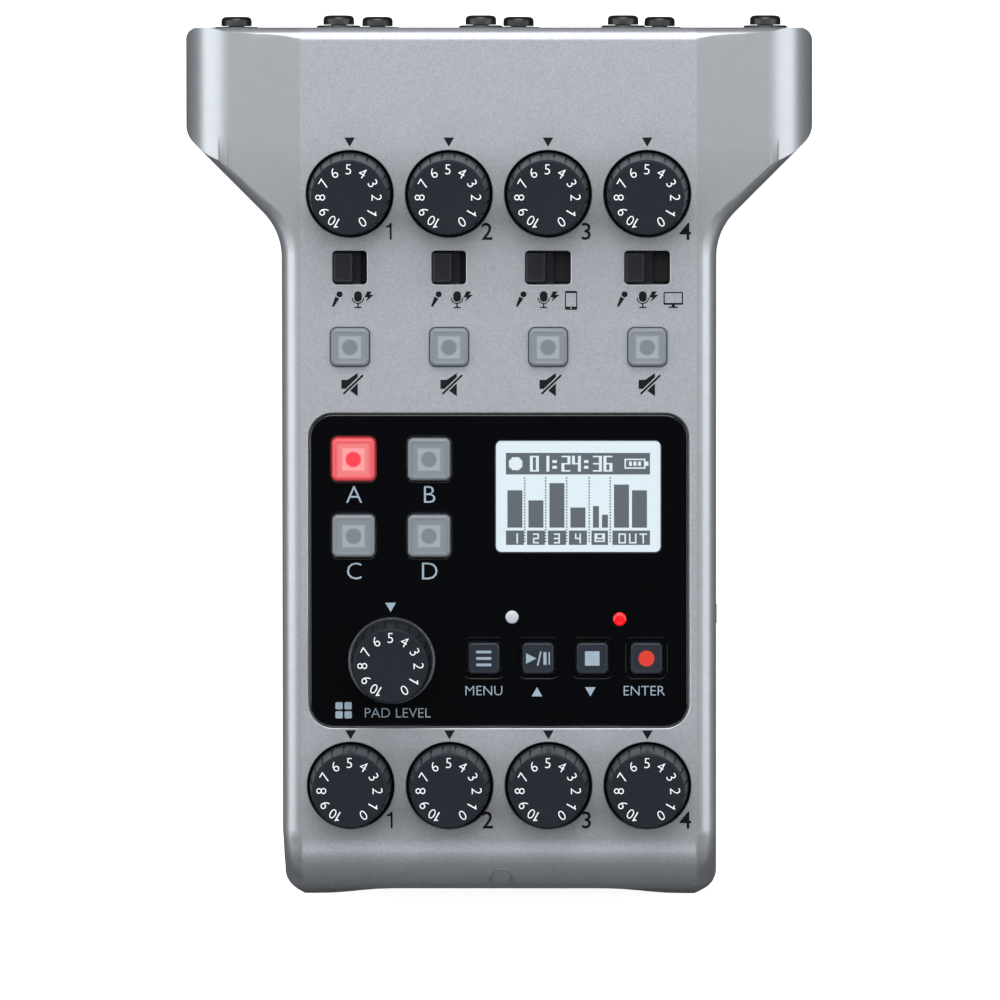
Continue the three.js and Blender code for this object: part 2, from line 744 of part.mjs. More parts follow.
function controlPanel() {
  const low = panelUnderside - overrun
  const plate = roundedBox(panelWidth, panelLength, panelCornerRadius, panelUnderside, -panelSink,
    0, panelCentreY)
  const hole = (width, radius) => ([, x, y]) => solid(roundedBox(width + 2 * clearance,
    width + 2 * clearance, radius + clearance, low, overrun, x, y))
  return cut(solid(plate), [
    ...soundPads.map(hole(soundPadWidth, soundPadCornerRadius)),
    ...keys.map(hole(keyWidth, keyCornerRadius)),
    solid(bar(knobHoleRadius, low, overrun, padCentreX, padKnobY, roundSteps)),
    solid(roundedBox(displayWidth, displayLength, displayCornerRadius, low, overrun, displayX, displayY)),
  ])
}

function displayModule() {
  const frameTop = panelUnderside - clearance
  const frameLow = frameTop - displayFrameThickness
  const frameX = displayWidth / 2 + displayFrameReach
  const frameY = displayLength / 2 + displayFrameReach
  const legs = [[1, 1], [1, -1], [-1, 1], [-1, -1]].map(([right, up]) => solid(
    bar(displayLegRadius, boardTop + clearance, frameLow + displayFrameThickness / 2,
      right * (frameX - displayLegRadius), up * (frameY - displayLegRadius))))
  return joined([
    solid(block([-frameX, -frameY, frameLow], [frameX, frameY, frameTop])),
    solid(roundedBox(displayWidth - 2 * clearance, displayLength - 2 * clearance, displayCornerRadius,
      frameTop - displayFrameThickness / 2, -panelSink - clearance)),
    ...legs,
  ])
}

// A small round jack that points along +Z, from its mouth back, in a square housing
function miniJack(mouth, shoulder, back) {
  const half = miniJackWidth / 2
  const high = miniJackHeight / 2
  const body = joined([
    solid(block([-half, -high, back], [half, high, shoulder])),
    solid(bar(miniNoseRadius, shoulder - clearance, mouth)),
  ])
  return body.subtract(solid(bar(miniBoreRadius, back + shellWall, mouth + overrun)))
}

// A flat oval port that points along +Z
function usbPort() {
  const inner = usbDepth - usbSkin
  const width = usbWidth - 2 * usbSkin
  const height = usbHeight - 2 * usbSkin
  const radius = usbCornerRadius - usbSkin
  return joined([
    cut(solid(roundedBox(usbWidth, usbHeight, usbCornerRadius, portFace - usbDepth, portFace)),
      [solid(roundedBox(width, height, radius, portFace - inner, portFace + overrun))]),
    solid(block([-usbTongueWidth / 2, -usbTongueHeight / 2, portFace - usbDepth + usbSkin / 2],
      [usbTongueWidth / 2, usbTongueHeight / 2, portFace - usbDepth + usbTongueDepth])),
  ])
}

function mainBoard() {
  const plate = block([-boardHalf, boardFrontY, boardBottom], [boardHalf, boardRearY, boardTop])
  const low = boardTop - boardThickness / 2
  const raisedBox = (width, length, height) => ([, x, y]) => solid(
    block([x - width / 2, y - length / 2, low], [x + width / 2, y + length / 2, boardTop + height]))
  const muteSpots = channelXs.map((x) => ['', x, muteRowY])
  const switchSpots = channelXs.map((x) => ['', x, switchRowY])
  const bores = knobs.map(([, x, y]) =>
    solid(bar(shaftRadius + clearance, boardTop + potFloor, overrun, x, y)))
  const under = boardBottom + boardThickness / 2
  const turned = (body, side, y, z) => solid(geometryOf(body).applyMatrix4(sideways(side, y, z)))
  const jack = miniJack(portFace, neckHalf - shellWall - 2 * clearance,
    neckHalf - shellWall - 2 * clearance - miniJackDepth)
  const socketMouth = neckHalf - shellWall - socketMouthSetback
  const cardInner = neckHalf - cardSetback - cardLength
  const socketBack = cardInner - cardPush - clearance - socketSkin
  const socketHalf = cardWidth / 2 + clearance + socketSkin
  const socket = block([socketBack, cardY - socketHalf, boardBottom - socketHeight],
    [socketMouth, cardY + socketHalf, under])
  const cardHalf = cardWidth / 2 + clearance
  const cardRise = cardThickness / 2 + clearance
  const cardRoom = block([socketBack + socketSkin, cardY - cardHalf, cardMiddle - cardRise],
    [neckHalf, cardY + cardHalf, cardMiddle + cardRise])
  const powerBack = neckHalf - shellWall - 2 * clearance - powerPlateThickness - clearance
  const powerBody = block([powerBack - powerBodyDepth, powerY - powerSlotHalf, boardBottom - 2 * powerDrop],
    [powerBack, powerY + powerSlotHalf, under])
  const whole = joined([
    solid(plate),
    ...knobs.map(raisedBox(potWidth, potWidth, potHeight)),
    ...switchSpots.map(raisedBox(switchBodyWidth, switchBodyLength, switchBodyHeight)),
    ...[...muteSpots, ...soundPads, ...keys].map(raisedBox(tactWidth, tactWidth, tactHeight)),
    turned(usbPort(), -1, leftUsbY, portMiddle(usbHeight)),
    turned(usbPort(), 1, rightUsbY, portMiddle(usbHeight)),
    turned(jack, -1, phoneJackY, portMiddle(miniJackHeight)),
    solid(socket),
    solid(powerBody),
  ])
  return cut(whole, [...bores, solid(cardRoom)])
}

function memoryCard() {
  const outer = neckHalf - cardSetback
  const corner = cardThickness
  const outline = [
    [outer, -cardWidth / 2, 0], [outer, cardWidth / 2, 0],
    [outer - cardLength + corner, cardWidth / 2, 0], [outer - cardLength, cardWidth / 2 - corner, 0],
    [outer - cardLength, -cardWidth / 2, 0],
  ]
  return raised(roundedOutline(outline), -cardThickness / 2, cardThickness / 2)
}

// The card door, modelled about its hinge line along Y
function cardDoor() {
  const half = cardDoorThickness / 2
  const length = cardDoorLength / 2
  const pin = bar(doorPinRadius, -length - doorPinLength, length + doorPinLength).rotateX(Math.PI / 2)
  return joined([
    solid(block([-half, -length, 0], [half, length, cardDoorHeight - half])),
    solid(bar(half, -length, length).rotateX(Math.PI / 2)),
    solid(pin),
  ])
}

function powerSwitch() {
  const inner = neckHalf - shellWall - clearance
  const halfLength = powerKnobLength / 2
  const halfHeight = powerKnobHeight / 2
  const plateLength = powerSlotHalf + powerPlateReach
  const plateHeight = halfHeight + powerPlateReach
  return joined([
    solid(block([inner - powerPlateThickness / 2, -halfLength, -halfHeight],
      [neckHalf + powerKnobRise, halfLength, halfHeight])),
    solid(block([inner - powerPlateThickness, -plateLength, -plateHeight],
      [inner, plateLength, plateHeight])),
  ])
}

// A three-pin microphone jack, its mouth towards +Z
function micJack() {
  const front = jackFace(0, -jackEarThickness, 0)
  const proud = jackEars.map(([x, y]) =>
    solid(bar(jackEarRadius, -jackEarThickness / 2, jackEarProud, x, y, middleSteps)))
  const barrel = solid(bar(jackRadius, -jackDepth, 0, 0, 0, roundSteps))
  const housing = solid(latchHousing(0, -latchLength - latchTravel - 2 * shellWall, 0))
  const ring = joined([front, ...proud, barrel, housing])
  const bore = solid(bar(jackBoreRadius, jackBackWall - jackDepth, overrun, 0, 0, roundSteps))
  const insert = solid(bar(jackInsertRadius, -jackDepth + jackBackWall / 2, -jackInsertSetback,
    0, 0, roundSteps))
  const latchX = latchWidth / 2 + slideGap
  const latchY = jackBoreRadius + latchSeat - slideGap
  const latchRoom = block([-latchX, latchY - jackBoreRadius / 2, -latchLength - latchTravel - clearance],
    [latchX, latchY + latchThickness + 2 * slideGap, overrun])
  const pinHoles = [Math.PI, 0, Math.PI / 2].map((angle) => solid(bar(pinHoleRadius,
    -jackInsertSetback - pinHoleDepth, overrun,
    pinCircleRadius * Math.cos(angle), -pinCircleRadius * Math.sin(angle), smallSteps)))
  const screwHoles = jackEars.map(([x, y]) =>
    solid(bar(screwShankRadius + slideGap, -jackDepth, overrun, x, y)))
  const hollow = cut(ring, [bore, solid(latchRoom), ...screwHoles])
  return cut(hollow.add(insert), pinHoles)
}

function micLatch() {
  const half = latchWidth / 2
  const low = jackBoreRadius + latchSeat
  return block([-half, low, -latchLength], [half, low + latchThickness, -slideGap])
}

function jackScrew() {
  const under = jackEarProud + slideGap / 2
  const shoulder = jackEarProud + screwHeadHeight - screwCrownHeight
  const arm = (x, y) => solid(block([-x / 2, -y / 2, screwTop - screwRecessDepth],
    [x / 2, y / 2, screwTop + overrun]))
  const head = joined([
    solid(bar(screwHeadRadius, under, shoulder, 0, 0, middleSteps)),
    solid(bar(screwHeadRadius, shoulder, screwTop, 0, 0, middleSteps, screwHeadRadius - screwCrownHeight)),
    solid(bar(screwShankRadius, -screwLength, under + screwCrownHeight)),
  ])
  return cut(head, [arm(screwRecessLength, screwRecessWidth), arm(screwRecessWidth, screwRecessLength)])
}

function headphoneBoard() {
  const low = phonesBoardTop - phonesBoardThickness
  const plate = block([-phonesBoardHalf, phonesBoardY, low],
    [phonesBoardHalf, phonesBoardY + phonesBoardDepth, phonesBoardTop + sharpestRadius])
  const jack = geometryOf(miniJack(0, -shellWall - 2 * clearance, -shellWall - 2 * clearance - miniJackDepth))
    .rotateX(Math.PI / 2)
  const jacks = channelXs.map((x) =>
    solid(jack.clone().translate(x, frontFaceY + portSetback / 2, phonesHeight)))
  const bores = channelXs.map((x) => solid(bar(miniBoreRadius, -miniJackDepth, overrun)
    .rotateX(Math.PI / 2).translate(x, frontFaceY, phonesHeight)))
  return cut(joined([solid(plate), ...jacks]), bores)
}

function foot() {
  return bar(footRadius, 0, footLift + footPocket - slideGap, 0, 0, roundSteps)
}

// Assembly: shells and boards
add(recorder, 'top_shell', topShell(), silverPaint)
add(recorder, 'bottom_shell', bottomShell(), darkPlastic)
add(deck, 'control_panel', controlPanel(), panelGloss)
add(deck, 'display_module', displayModule(), displayGlass, displayX, displayY)
add(deck, 'main_board', mainBoard(), circuitBoard)
add(recorder, 'headphone_board', headphoneBoard(), jackPlastic)

// Assembly: controls on the deck
for (const [name, x, y] of knobs) {
  add(deck, name, levelKnob(boardTop + potFloor + clearance), knobPlastic, x, y)
}
channelXs.forEach((x, index) => {
  const leverX = x - switchTravels[index] / 2
  add(deck, `input_switch_${index + 1}`, switchLever(), keyPlastic, leverX, switchRowY)
  add(deck, `mute_button_${index + 1}`,
    pressButton(muteWidth, muteCornerRadius, buttonRise, -shellWall), silicone, x, muteRowY)
})
for (const [name, x, y] of soundPads) {
  const material = name === 'sound_pad_a' ? litSilicone : silicone
  add(deck, name, pressButton(soundPadWidth, soundPadCornerRadius, buttonRise, panelUnderside),
    material, x, y)
}
for (const [name, x, y] of keys) {
  add(deck, name, pressButton(keyWidth, keyCornerRadius, keyRise, panelUnderside), keyPlastic, x, y)
}

// Assembly: microphone jacks, numbered from the left as seen from above
jackXs.forEach((x, index) => {
  const number = index + 1
  add(rear, `mic_jack_${number}`, micJack(), jackPlastic, -x)
  add(rear, `mic_latch_${number}`, micLatch(), blackSteel, -x)
  jackEars.forEach(([earX, earY], ear) => {
    add(rear, `mic_jack_screw_${2 * index + ear + 1}`, jackScrew(), blackSteel, earX - x, earY)
  })
})

// Assembly: side pieces
add(deck, 'memory_card', memoryCard(), cardPlastic, 0, cardY, cardMiddle)
add(deck, 'card_door', cardDoor(), silverPaint, doorAxisX, cardY, doorAxisZ)
add(deck, 'power_switch', powerSwitch(), keyPlastic, 0, powerY - powerTravel / 2, powerMiddle)

// Assembly: battery bay and feet
const bay = frame(0, bayCentreY, cellHeight, 0, 0)
recorder.add(bay)
add(recorder, 'battery_door', batteryDoor(), darkPlastic)
add(bay, 'battery_1', batteryCell(), cellWrap, 0, cellOffsetY)
add(bay, 'battery_2', geometryOf(batteryCell()).rotateZ(Math.PI), cellWrap, 0, -cellOffsetY)
add(bay, 'battery_bridge', contact(-cellOffsetY, cellOffsetY, 1), springSteel)
add(bay, 'negative_contact', contact(-cellOffsetY, null, -1), springSteel)
add(bay, 'positive_contact', contact(null, cellOffsetY, -1), springSteel)
feetPlaces.forEach(([x, y], index) => add(recorder, `foot_${index + 1}`, foot(), footRubber, x, y))

export default recorder
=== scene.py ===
# Podcast recorder: fine shapes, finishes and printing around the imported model
import json
import math

import bmesh
import bpy
from mathutils import Matrix, Vector

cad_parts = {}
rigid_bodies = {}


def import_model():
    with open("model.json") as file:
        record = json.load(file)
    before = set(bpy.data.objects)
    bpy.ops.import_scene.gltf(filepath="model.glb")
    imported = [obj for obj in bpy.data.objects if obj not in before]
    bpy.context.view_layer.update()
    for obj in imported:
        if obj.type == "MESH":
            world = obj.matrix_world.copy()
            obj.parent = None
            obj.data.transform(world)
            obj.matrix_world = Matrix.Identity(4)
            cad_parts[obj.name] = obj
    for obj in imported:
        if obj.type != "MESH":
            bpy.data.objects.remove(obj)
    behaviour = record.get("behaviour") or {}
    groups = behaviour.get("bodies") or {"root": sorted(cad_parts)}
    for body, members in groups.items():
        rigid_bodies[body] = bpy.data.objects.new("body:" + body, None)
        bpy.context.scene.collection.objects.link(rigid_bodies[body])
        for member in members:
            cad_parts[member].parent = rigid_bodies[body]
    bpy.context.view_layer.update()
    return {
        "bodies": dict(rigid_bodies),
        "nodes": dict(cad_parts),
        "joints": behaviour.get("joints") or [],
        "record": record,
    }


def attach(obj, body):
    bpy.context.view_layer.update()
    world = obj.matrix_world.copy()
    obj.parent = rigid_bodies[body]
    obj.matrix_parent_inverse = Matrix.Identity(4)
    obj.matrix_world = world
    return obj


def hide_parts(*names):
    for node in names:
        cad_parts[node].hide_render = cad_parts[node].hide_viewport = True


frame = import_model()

mm = 0.001  # pieces are shaped in millimetres and placed in metres
world = bpy.context.scene.world = bpy.data.worlds.new("studio")
bpy.context.scene.view_settings.view_transform = "Standard"

place = {"slope": 10.3 / 155, "deckHeight": 33.45, "shiftY": -1.1, "rearY": 77.5, "jackHeight": 20.5}
toMetres = Matrix.Scale(mm, 4)
plainFrame = Matrix.Translation((0, place["shiftY"] * mm, 0)) @ toMetres
deckFrame = (
    Matrix.Translation((0, place["shiftY"] * mm, place["deckHeight"] * mm))
    @ Matrix.Rotation(math.atan(place["slope"]), 4, "X") @ toMetres
)
rearFrame = (
    Matrix.Translation((0, (place["rearY"] + place["shiftY"]) * mm, place["jackHeight"] * mm))
    @ Matrix(((-1, 0, 0, 0), (0, 0, 1, 0), (0, 1, 0, 0), (0, 0, 0, 1))) @ toMetres
)
deckInMillimetres = plainFrame.inverted() @ deckFrame


def turned(degrees, letter):
    return Matrix.Rotation(math.radians(degrees), 4, letter)


def at(x, y, z=0, turn=0):
    return Matrix.Translation((x, y, z)) @ turned(turn, "Z")


def around(radius, degrees):
    return radius * math.cos(math.radians(degrees)), radius * math.sin(math.radians(degrees))


def named(piece, name):
    piece.name = piece.data.name = name
    return piece


def started(name, add, **settings):  # a new piece, from one of Blender's own shapes
    bpy.ops.object.select_all(action="DESELECT")
    add(**settings)
    return named(bpy.context.object, name)


def moved(piece, matrix):
    piece.data.transform(matrix)
    return piece


def alone(piece):  # the only selected piece
    bpy.ops.object.select_all(action="DESELECT")
    piece.select_set(True)
    bpy.context.view_layer.objects.active = piece
    return piece


def openEdit(piece, kind="FACE"):
    alone(piece)
    bpy.ops.object.mode_set(mode="EDIT")
    bpy.ops.mesh.select_mode(type=kind)
    bpy.ops.mesh.select_all(action="DESELECT")


def closeEdit():
    bpy.ops.object.mode_set(mode="OBJECT")


def selectAll():
    bpy.ops.mesh.select_all(action="SELECT")


def pick(kind, test):  # selects the verts, edges or faces that pass a test
    bpy.ops.mesh.select_mode(type={"verts": "VERT", "edges": "EDGE", "faces": "FACE"}[kind])
    bpy.ops.mesh.select_all(action="DESELECT")
    data = bpy.context.edit_object.data
    shape = bmesh.from_edit_mesh(data)
    for item in getattr(shape, kind):
        if test(item):
            item.select_set(True)
    shape.select_flush_mode()
    bmesh.update_edit_mesh(data)


def modified(piece, kind, **settings):
    alone(piece)
    modifier = piece.modifiers.new(kind, kind)
    for name, value in settings.items():
        setattr(modifier, name, value)
    bpy.ops.object.modifier_apply(modifier=modifier.name)
    return piece


def carved(piece, cutter, operation="DIFFERENCE"):
    modified(piece, "BOOLEAN", object=cutter, operation=operation, solver="MANIFOLD")
    bpy.data.objects.remove(cutter)
    return piece


def joined(pieces, name):
    alone(pieces[0])
    for piece in pieces:
        piece.select_set(True)
    if len(pieces) > 1:
        bpy.ops.object.join()
    return named(pieces[0], name)


def copied(piece, name, matrix=None):
    twin = piece.copy()
    twin.data = piece.data.copy()
    bpy.context.scene.collection.objects.link(twin)
    named(twin, name)
    return moved(twin, matrix) if matrix else twin


patterns = []  # shapes that are only copied, cleared away at the end


def pattern(piece):
    patterns.append(piece)
    return piece


def roundedPoints(corners, step=6):  # corners are (x, y, radius); step is in degrees
    points = []
    for index, (x, y, radius) in enumerate(corners):
        corner = Vector((x, y))
        if radius <= 0:
            points.append(corner)
            continue
        before = (Vector(corners[index - 1][:2]) - corner).normalized()
        after = (Vector(corners[(index + 1) % len(corners)][:2]) - corner).normalized()
        half = math.acos(max(-1, min(1, before.dot(after)))) / 2
        centre = corner + (before + after).normalized() * radius / math.sin(half)
        spoke = corner + before * radius / math.tan(half) - centre
        turn = math.copysign(math.pi - 2 * half, after.cross(before))
        count = max(2, math.ceil(abs(math.degrees(turn)) / step))
        for number in range(count + 1):
            points.append(centre + Matrix.Rotation(turn * number / count, 2) @ spoke)
    return points


def rectangle(width, length, radius=0, x=0, y=0):
    return [(x + side * width / 2, y + end * length / 2, radius)
            for side, end in ((1, -1), (1, 1), (-1, 1), (-1, -1))]


def tower(name, rings, step=6):  # outlines stacked one on the other, each with its height
    outlines = [(roundedPoints(corners, step), height) for corners, height in rings]
    count = len(outlines[0][0])
    piece = started(name, bpy.ops.mesh.primitive_circle_add, vertices=count, fill_type="NGON")
    for vertex, point in zip(piece.data.vertices, outlines[0][0]):
        vertex.co = (*point, outlines[0][1])
    ring = list(range(count))
    for outline, height in outlines[1:]:
        openEdit(piece)
        pick("faces", lambda face: {vert.index for vert in face.verts} == set(ring))
        bpy.ops.mesh.extrude_region_move(TRANSFORM_OT_translate={"value": (0, 0, 1)})
        closeEdit()
        risers = [sorted(edge.vertices) for edge in piece.data.edges]
        above = {low: high for low, high in risers if low in set(ring) and high not in set(ring)}
        ring = [above[low] for low in ring]
        for vertex, point in zip(ring, outline):
            piece.data.vertices[vertex].co = (*point, height)
    return outwards(piece)


def outwards(piece):
    openEdit(piece)
    selectAll()
    bpy.ops.mesh.normals_make_consistent(inside=False)
    closeEdit()
    return piece


def prism(name, corners, low, high, step=6):
    return tower(name, [(corners, low), (corners, high)], step)


def arc(steps=4):  # shares of a quarter turn, as (out, up)
    return [(math.sin(math.pi / 2 * n / steps), math.cos(math.pi / 2 * n / steps)) for n in range(steps + 1)]


def flared(width, length, corner, x, y, low, rim, top=9):  # a cutter that rounds the rim of its hole
    rings = [(rectangle(width, length, corner, x, y), low)]
    for out, up in reversed(arc(3)):
        grow = rim * (1 - out)
        rings.append((rectangle(width + 2 * grow, length + 2 * grow, corner + grow, x, y), -rim * (1 - up)))
    rings.append((rings[-1][0], top))
    return tower("hole", rings)


def capped(width, length, corner, low, high, edge, steps=4, lip=0, dish=0):  # a block with a rounded top
    draws = [(0, low)] + [(edge * (1 - up), high - edge * (1 - out)) for out, up in arc(steps)]
    if dish:
        draws += [(edge + lip, high), (edge + lip + dish * 2, high - dish)]
    return tower("cap", [(rectangle(width - 2 * draw, length - 2 * draw, max(corner - draw, 0.05)), height)
                         for draw, height in draws])


def drum(name, radius, low, high, sides=48):
    piece = started(name, bpy.ops.mesh.primitive_cone_add, vertices=sides, radius1=radius, radius2=radius,
                    depth=high - low)
    return moved(piece, at(0, 0, (low + high) / 2))


def slab(name, low, high):  # a block between two opposite corners
    piece = started(name, bpy.ops.mesh.primitive_cube_add, size=1, scale=Vector(high) - Vector(low))
    return moved(piece, Matrix.Translation((Vector(high) + Vector(low)) / 2))


def rimmed(piece, test, width, segments=3):  # rounds the edges that pass a test
    openEdit(piece, "EDGE")
    pick("edges", test)
    bpy.ops.mesh.bevel(offset=width, segments=segments, affect="EDGES", clamp_overlap=False)
    closeEdit()
    return piece


def revolved(name, profile, sides=64):  # profile is (radius, height), from the axis back to the axis
    piece = started(name, bpy.ops.mesh.primitive_circle_add, vertices=len(profile), fill_type="NOTHING")
    for vertex, (radius, height) in zip(piece.data.vertices, profile):
        vertex.co = (radius, 0, height)
    openEdit(piece, "EDGE")
    pick("edges", lambda edge: edge.verts[0].co.x < 1e-6 and edge.verts[1].co.x < 1e-6)
    bpy.ops.mesh.delete(type="EDGE_FACE")
    selectAll()
    bpy.ops.mesh.spin(steps=sides, angle=2 * math.pi, center=(0, 0, 0), axis=(0, 0, 1))
    selectAll()
    bpy.ops.mesh.remove_doubles(threshold=1e-4)
    bpy.ops.mesh.dissolve_degenerate(threshold=1e-5)
    closeEdit()
    return outwards(piece)


def finished(piece, finish, rider, matrix, smooth=32, node=None, slot=None, weighted=True):
    alone(moved(piece, matrix))
    bpy.ops.object.shade_smooth_by_angle(angle=math.radians(smooth))
    if weighted:
        modified(piece, "WEIGHTED_NORMAL", keep_sharp=True)
    piece.data.materials.clear()
    piece.data.materials.append(bpy.data.materials[finish])
    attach(piece, rider)
    if node:
        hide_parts(node)
    return piece


def placed(shape, name, *rest, **others):  # a finished copy of a pattern
    return finished(copied(shape, name), *rest, **others)

# Case: the upper shell
case = {
    "depth": 155, "wingWidth": 112, "neckWidth": 77.6, "wingLength": 19.1,
    "shoulderRadius": 11.5, "wingCorner": 4.5, "rearCorner": 2.2, "frontCorner": 4,
    "hollowDepth": 1, "hollowHalf": 22, "rampLength": 8, "rampRadius": 55,
    "wall": 2.2, "neckEdge": 3.4, "wingEdge": 9, "wingDroop": 0.9, "creaseRadius": 15,
    "rollLength": 6.2, "rollDrop": 5.6, "rollStart": 12, "rollEnd": 8,
    "frontReach": 0.25, "rearEdge": 2.4, "seamHeight": 4.5, "gap": 0.3, "rim": 0.16,
    "formLow": -50, "clear": 0.005, "leastRadius": 0.4, "rearReach": 12, "reachCorner": 6, "span": 120,
    "cuts": ((-46, -36.6, -35, 35, 36.6, 46), (-76, -74, -72, -70, -68, -66, 58.5, 74.4),
             (9, 11, 13, 15, 17, 19, 21)),
    "blendX": 35.1, "blendY": -66.1, "blendZ": 9.1, "blendMerge": 0.45, "blendTimes": 16,
}
deck = {
    "channelXs": (-26.55, -8.85, 8.85, 26.55), "gainY": 47.9, "switchY": 34.7, "muteY": 20.5,
    "volumeY": -58.2, "knobHole": 7.8, "muteWidth": 6.85, "muteCorner": 1.15, "muteGap": 0.1,
    "slotWidths": (6.1, 6.1, 8.1, 8.1), "slotLength": 6, "slotCorner": 0.7,
    "panelWidth": 67.6, "panelLength": 56, "panelCorner": 4.2, "panelY": -19.6, "panelDepth": 1.6,
    "padKnob": (-19.2, -35.8),
}


def bodyCorners(inset, rearReach=0):
    def left(radius):
        return max(radius - inset, case["leastRadius"])

    neck = case["neckWidth"] / 2 - inset
    wing = case["wingWidth"] / 2 - inset
    front = -case["depth"] / 2 - case["frontReach"] + inset
    rear = case["depth"] / 2 - inset + rearReach
    slant = case["depth"] / 2 - case["wingLength"] - case["wingWidth"] / 2 + inset * math.sqrt(2)
    half = case["hollowHalf"]
    right = [
        (half, front + case["hollowDepth"], case["rampRadius"]),
        (half + case["rampLength"], front, case["rampRadius"]),
        (neck, front, left(case["frontCorner"])),
        (neck, slant + neck, case["shoulderRadius"] + inset),
        (wing, slant + wing, left(case["wingCorner"])),
        (wing, rear, case["reachCorner"] if rearReach else left(case["rearCorner"])),
    ]
    return right + [(-x, y, radius) for x, y, radius in reversed(right)]


def bodyForm(inset, step, rollSteps):
    low, clear, least = case["formLow"], case["clear"], case["leastRadius"]
    wing = case["wingWidth"] / 2 - inset + clear  # never quite in the plane of the walls
    rear = case["depth"] / 2 - inset + clear
    front = inset - case["depth"] / 2 - case["frontReach"] - clear
    crease = case["neckWidth"] / 2 - case["neckEdge"]
    form = prism("form", bodyCorners(inset, case["rearReach"]), low, -inset, step)
    rimmed(form, lambda edge: min(vert.co.z for vert in edge.verts) > -inset - 0.01,
           max(case["neckEdge"] - inset, least), rollSteps)
    carved(form, prism("walls", bodyCorners(inset), low - 5, 5, step), "INTERSECT")
    shoulder = (wing, -case["wingDroop"] - inset, case["wingEdge"] - inset)
    roof = [
        (crease, -inset, case["creaseRadius"]), (-crease, -inset, case["creaseRadius"]),
        (-shoulder[0], shoulder[1], shoulder[2]), (-wing, low - 5, 0), (wing, low - 5, 0), shoulder,
    ]
    profile = [
        (rear, low - 5, 0), (rear, -inset, max(case["rearEdge"] - inset, least)),
        (front + case["rollLength"], -inset, case["rollStart"] - inset),
        (front, -inset - case["rollDrop"], case["rollEnd"] - inset), (front, low - 5, 0),
    ]
    upright = turned(90, "X")
    for outline, matrix in ((roof, upright), (profile, turned(90, "Z") @ upright)):
        wall = prism("wall", outline, -case["span"], case["span"], step / 2)
        carved(form, moved(wall, matrix), "INTERSECT")
    slope = Matrix.Identity(4)
    slope[2][1] = place["slope"]
    slope[2][3] = place["deckHeight"]
    return moved(form, slope)


def roundHole(radius, rim, low=-9, high=9):
    flare = [(radius + rim * (1 - out), -rim * (1 - up)) for out, up in reversed(arc(3))]
    return revolved("hole", [(0, low), (radius, low)] + flare + [(radius + rim, high), (0, high)], 72)


def deckHoles():
    rim, gap = case["rim"], case["gap"]
    mute = deck["muteWidth"] + 2 * deck["muteGap"]
    holes = [flared(deck["panelWidth"] + 2 * gap, deck["panelLength"] + 2 * gap, deck["panelCorner"] + gap,
                    0, deck["panelY"], -deck["panelDepth"], rim)]
    for x, width in zip(deck["channelXs"], deck["slotWidths"]):
        holes += [
            moved(roundHole(deck["knobHole"], rim), at(x, deck["gainY"])),
            moved(roundHole(deck["knobHole"], rim), at(x, deck["volumeY"])),
            flared(mute, mute, deck["muteCorner"] + deck["muteGap"], x, deck["muteY"], -9, rim),
            flared(width, deck["slotLength"], deck["slotCorner"], x, deck["switchY"], -9, rim),
        ]
    return moved(joined(holes, "deckHoles"), deckInMillimetres)


def jackEars():
    return [(-sign * jack["earX"], sign * jack["earY"]) for sign in (-1, 1)]


def jackOutline(grow, low, high):  # a disc with two screw ears, seen from behind
    whole = drum("face", jack["radius"] + grow, low, high, 72)
    reach = math.hypot(jack["earX"], jack["earY"])
    link = rectangle(reach, 2 * (jack["linkHalf"] + grow), 0, reach / 2)
    for ear in jackEars():
        turn = math.degrees(math.atan2(ear[1], ear[0]))
        carved(whole, moved(prism("link", link, low, high), at(0, 0, 0, turn)), "UNION")
        carved(whole, moved(drum("ear", jack["earRadius"] + grow, low, high), at(*ear)), "UNION")
    return whole


jack = {
    "xs": (-38.1, -12.7, 12.7, 38.1), "radius": 11, "bore": 9.6, "insert": 7.9, "depth": 20,
    "earX": 9.5, "earY": 12, "earRadius": 3.9, "linkHalf": 2.6, "seat": 1.2, "proud": 0.4,
    "housingWidth": 8, "housingTop": 12.7, "latchWidth": 5.4, "latchThickness": 1.7, "latchLength": 9,
    "latchY": 10.65, "pinCircle": 4, "pinAngles": (180, 0, 270), "pinHole": 1.3, "screwHead": 2.75,
}
side = {
    "face": 38.8, "usbWidth": 8.9, "usbHeight": 3.2, "usbCorner": 1.3, "leftUsbY": -4, "rightUsbY": -10,
    "phoneY": 15, "noseRadius": 2.9, "phoneZ": -13.5, "usbZ": -12.2, "cardY": 15, "cardZ": -12.65,
    "doorLength": 28, "doorHeight": 6, "doorThickness": 1.5, "powerY": -27, "powerZ": -14, "powerSlot": 3.35,
    "powerHeight": 2.4, "powerLength": 3.4, "powerTravel": 3, "holeLow": -4, "rim": 0.15, "frontZ": 13,
    "frontSunk": 0.75,
}
turnedOut = {  # shapes that point up, turned to point out of the right or left side
    way: Matrix(((0, 0, way, way * side["face"]), (way, 0, 0, 0), (0, 1, 0, 0), (0, 0, 0, 1)))
    for way in (1, -1)
}


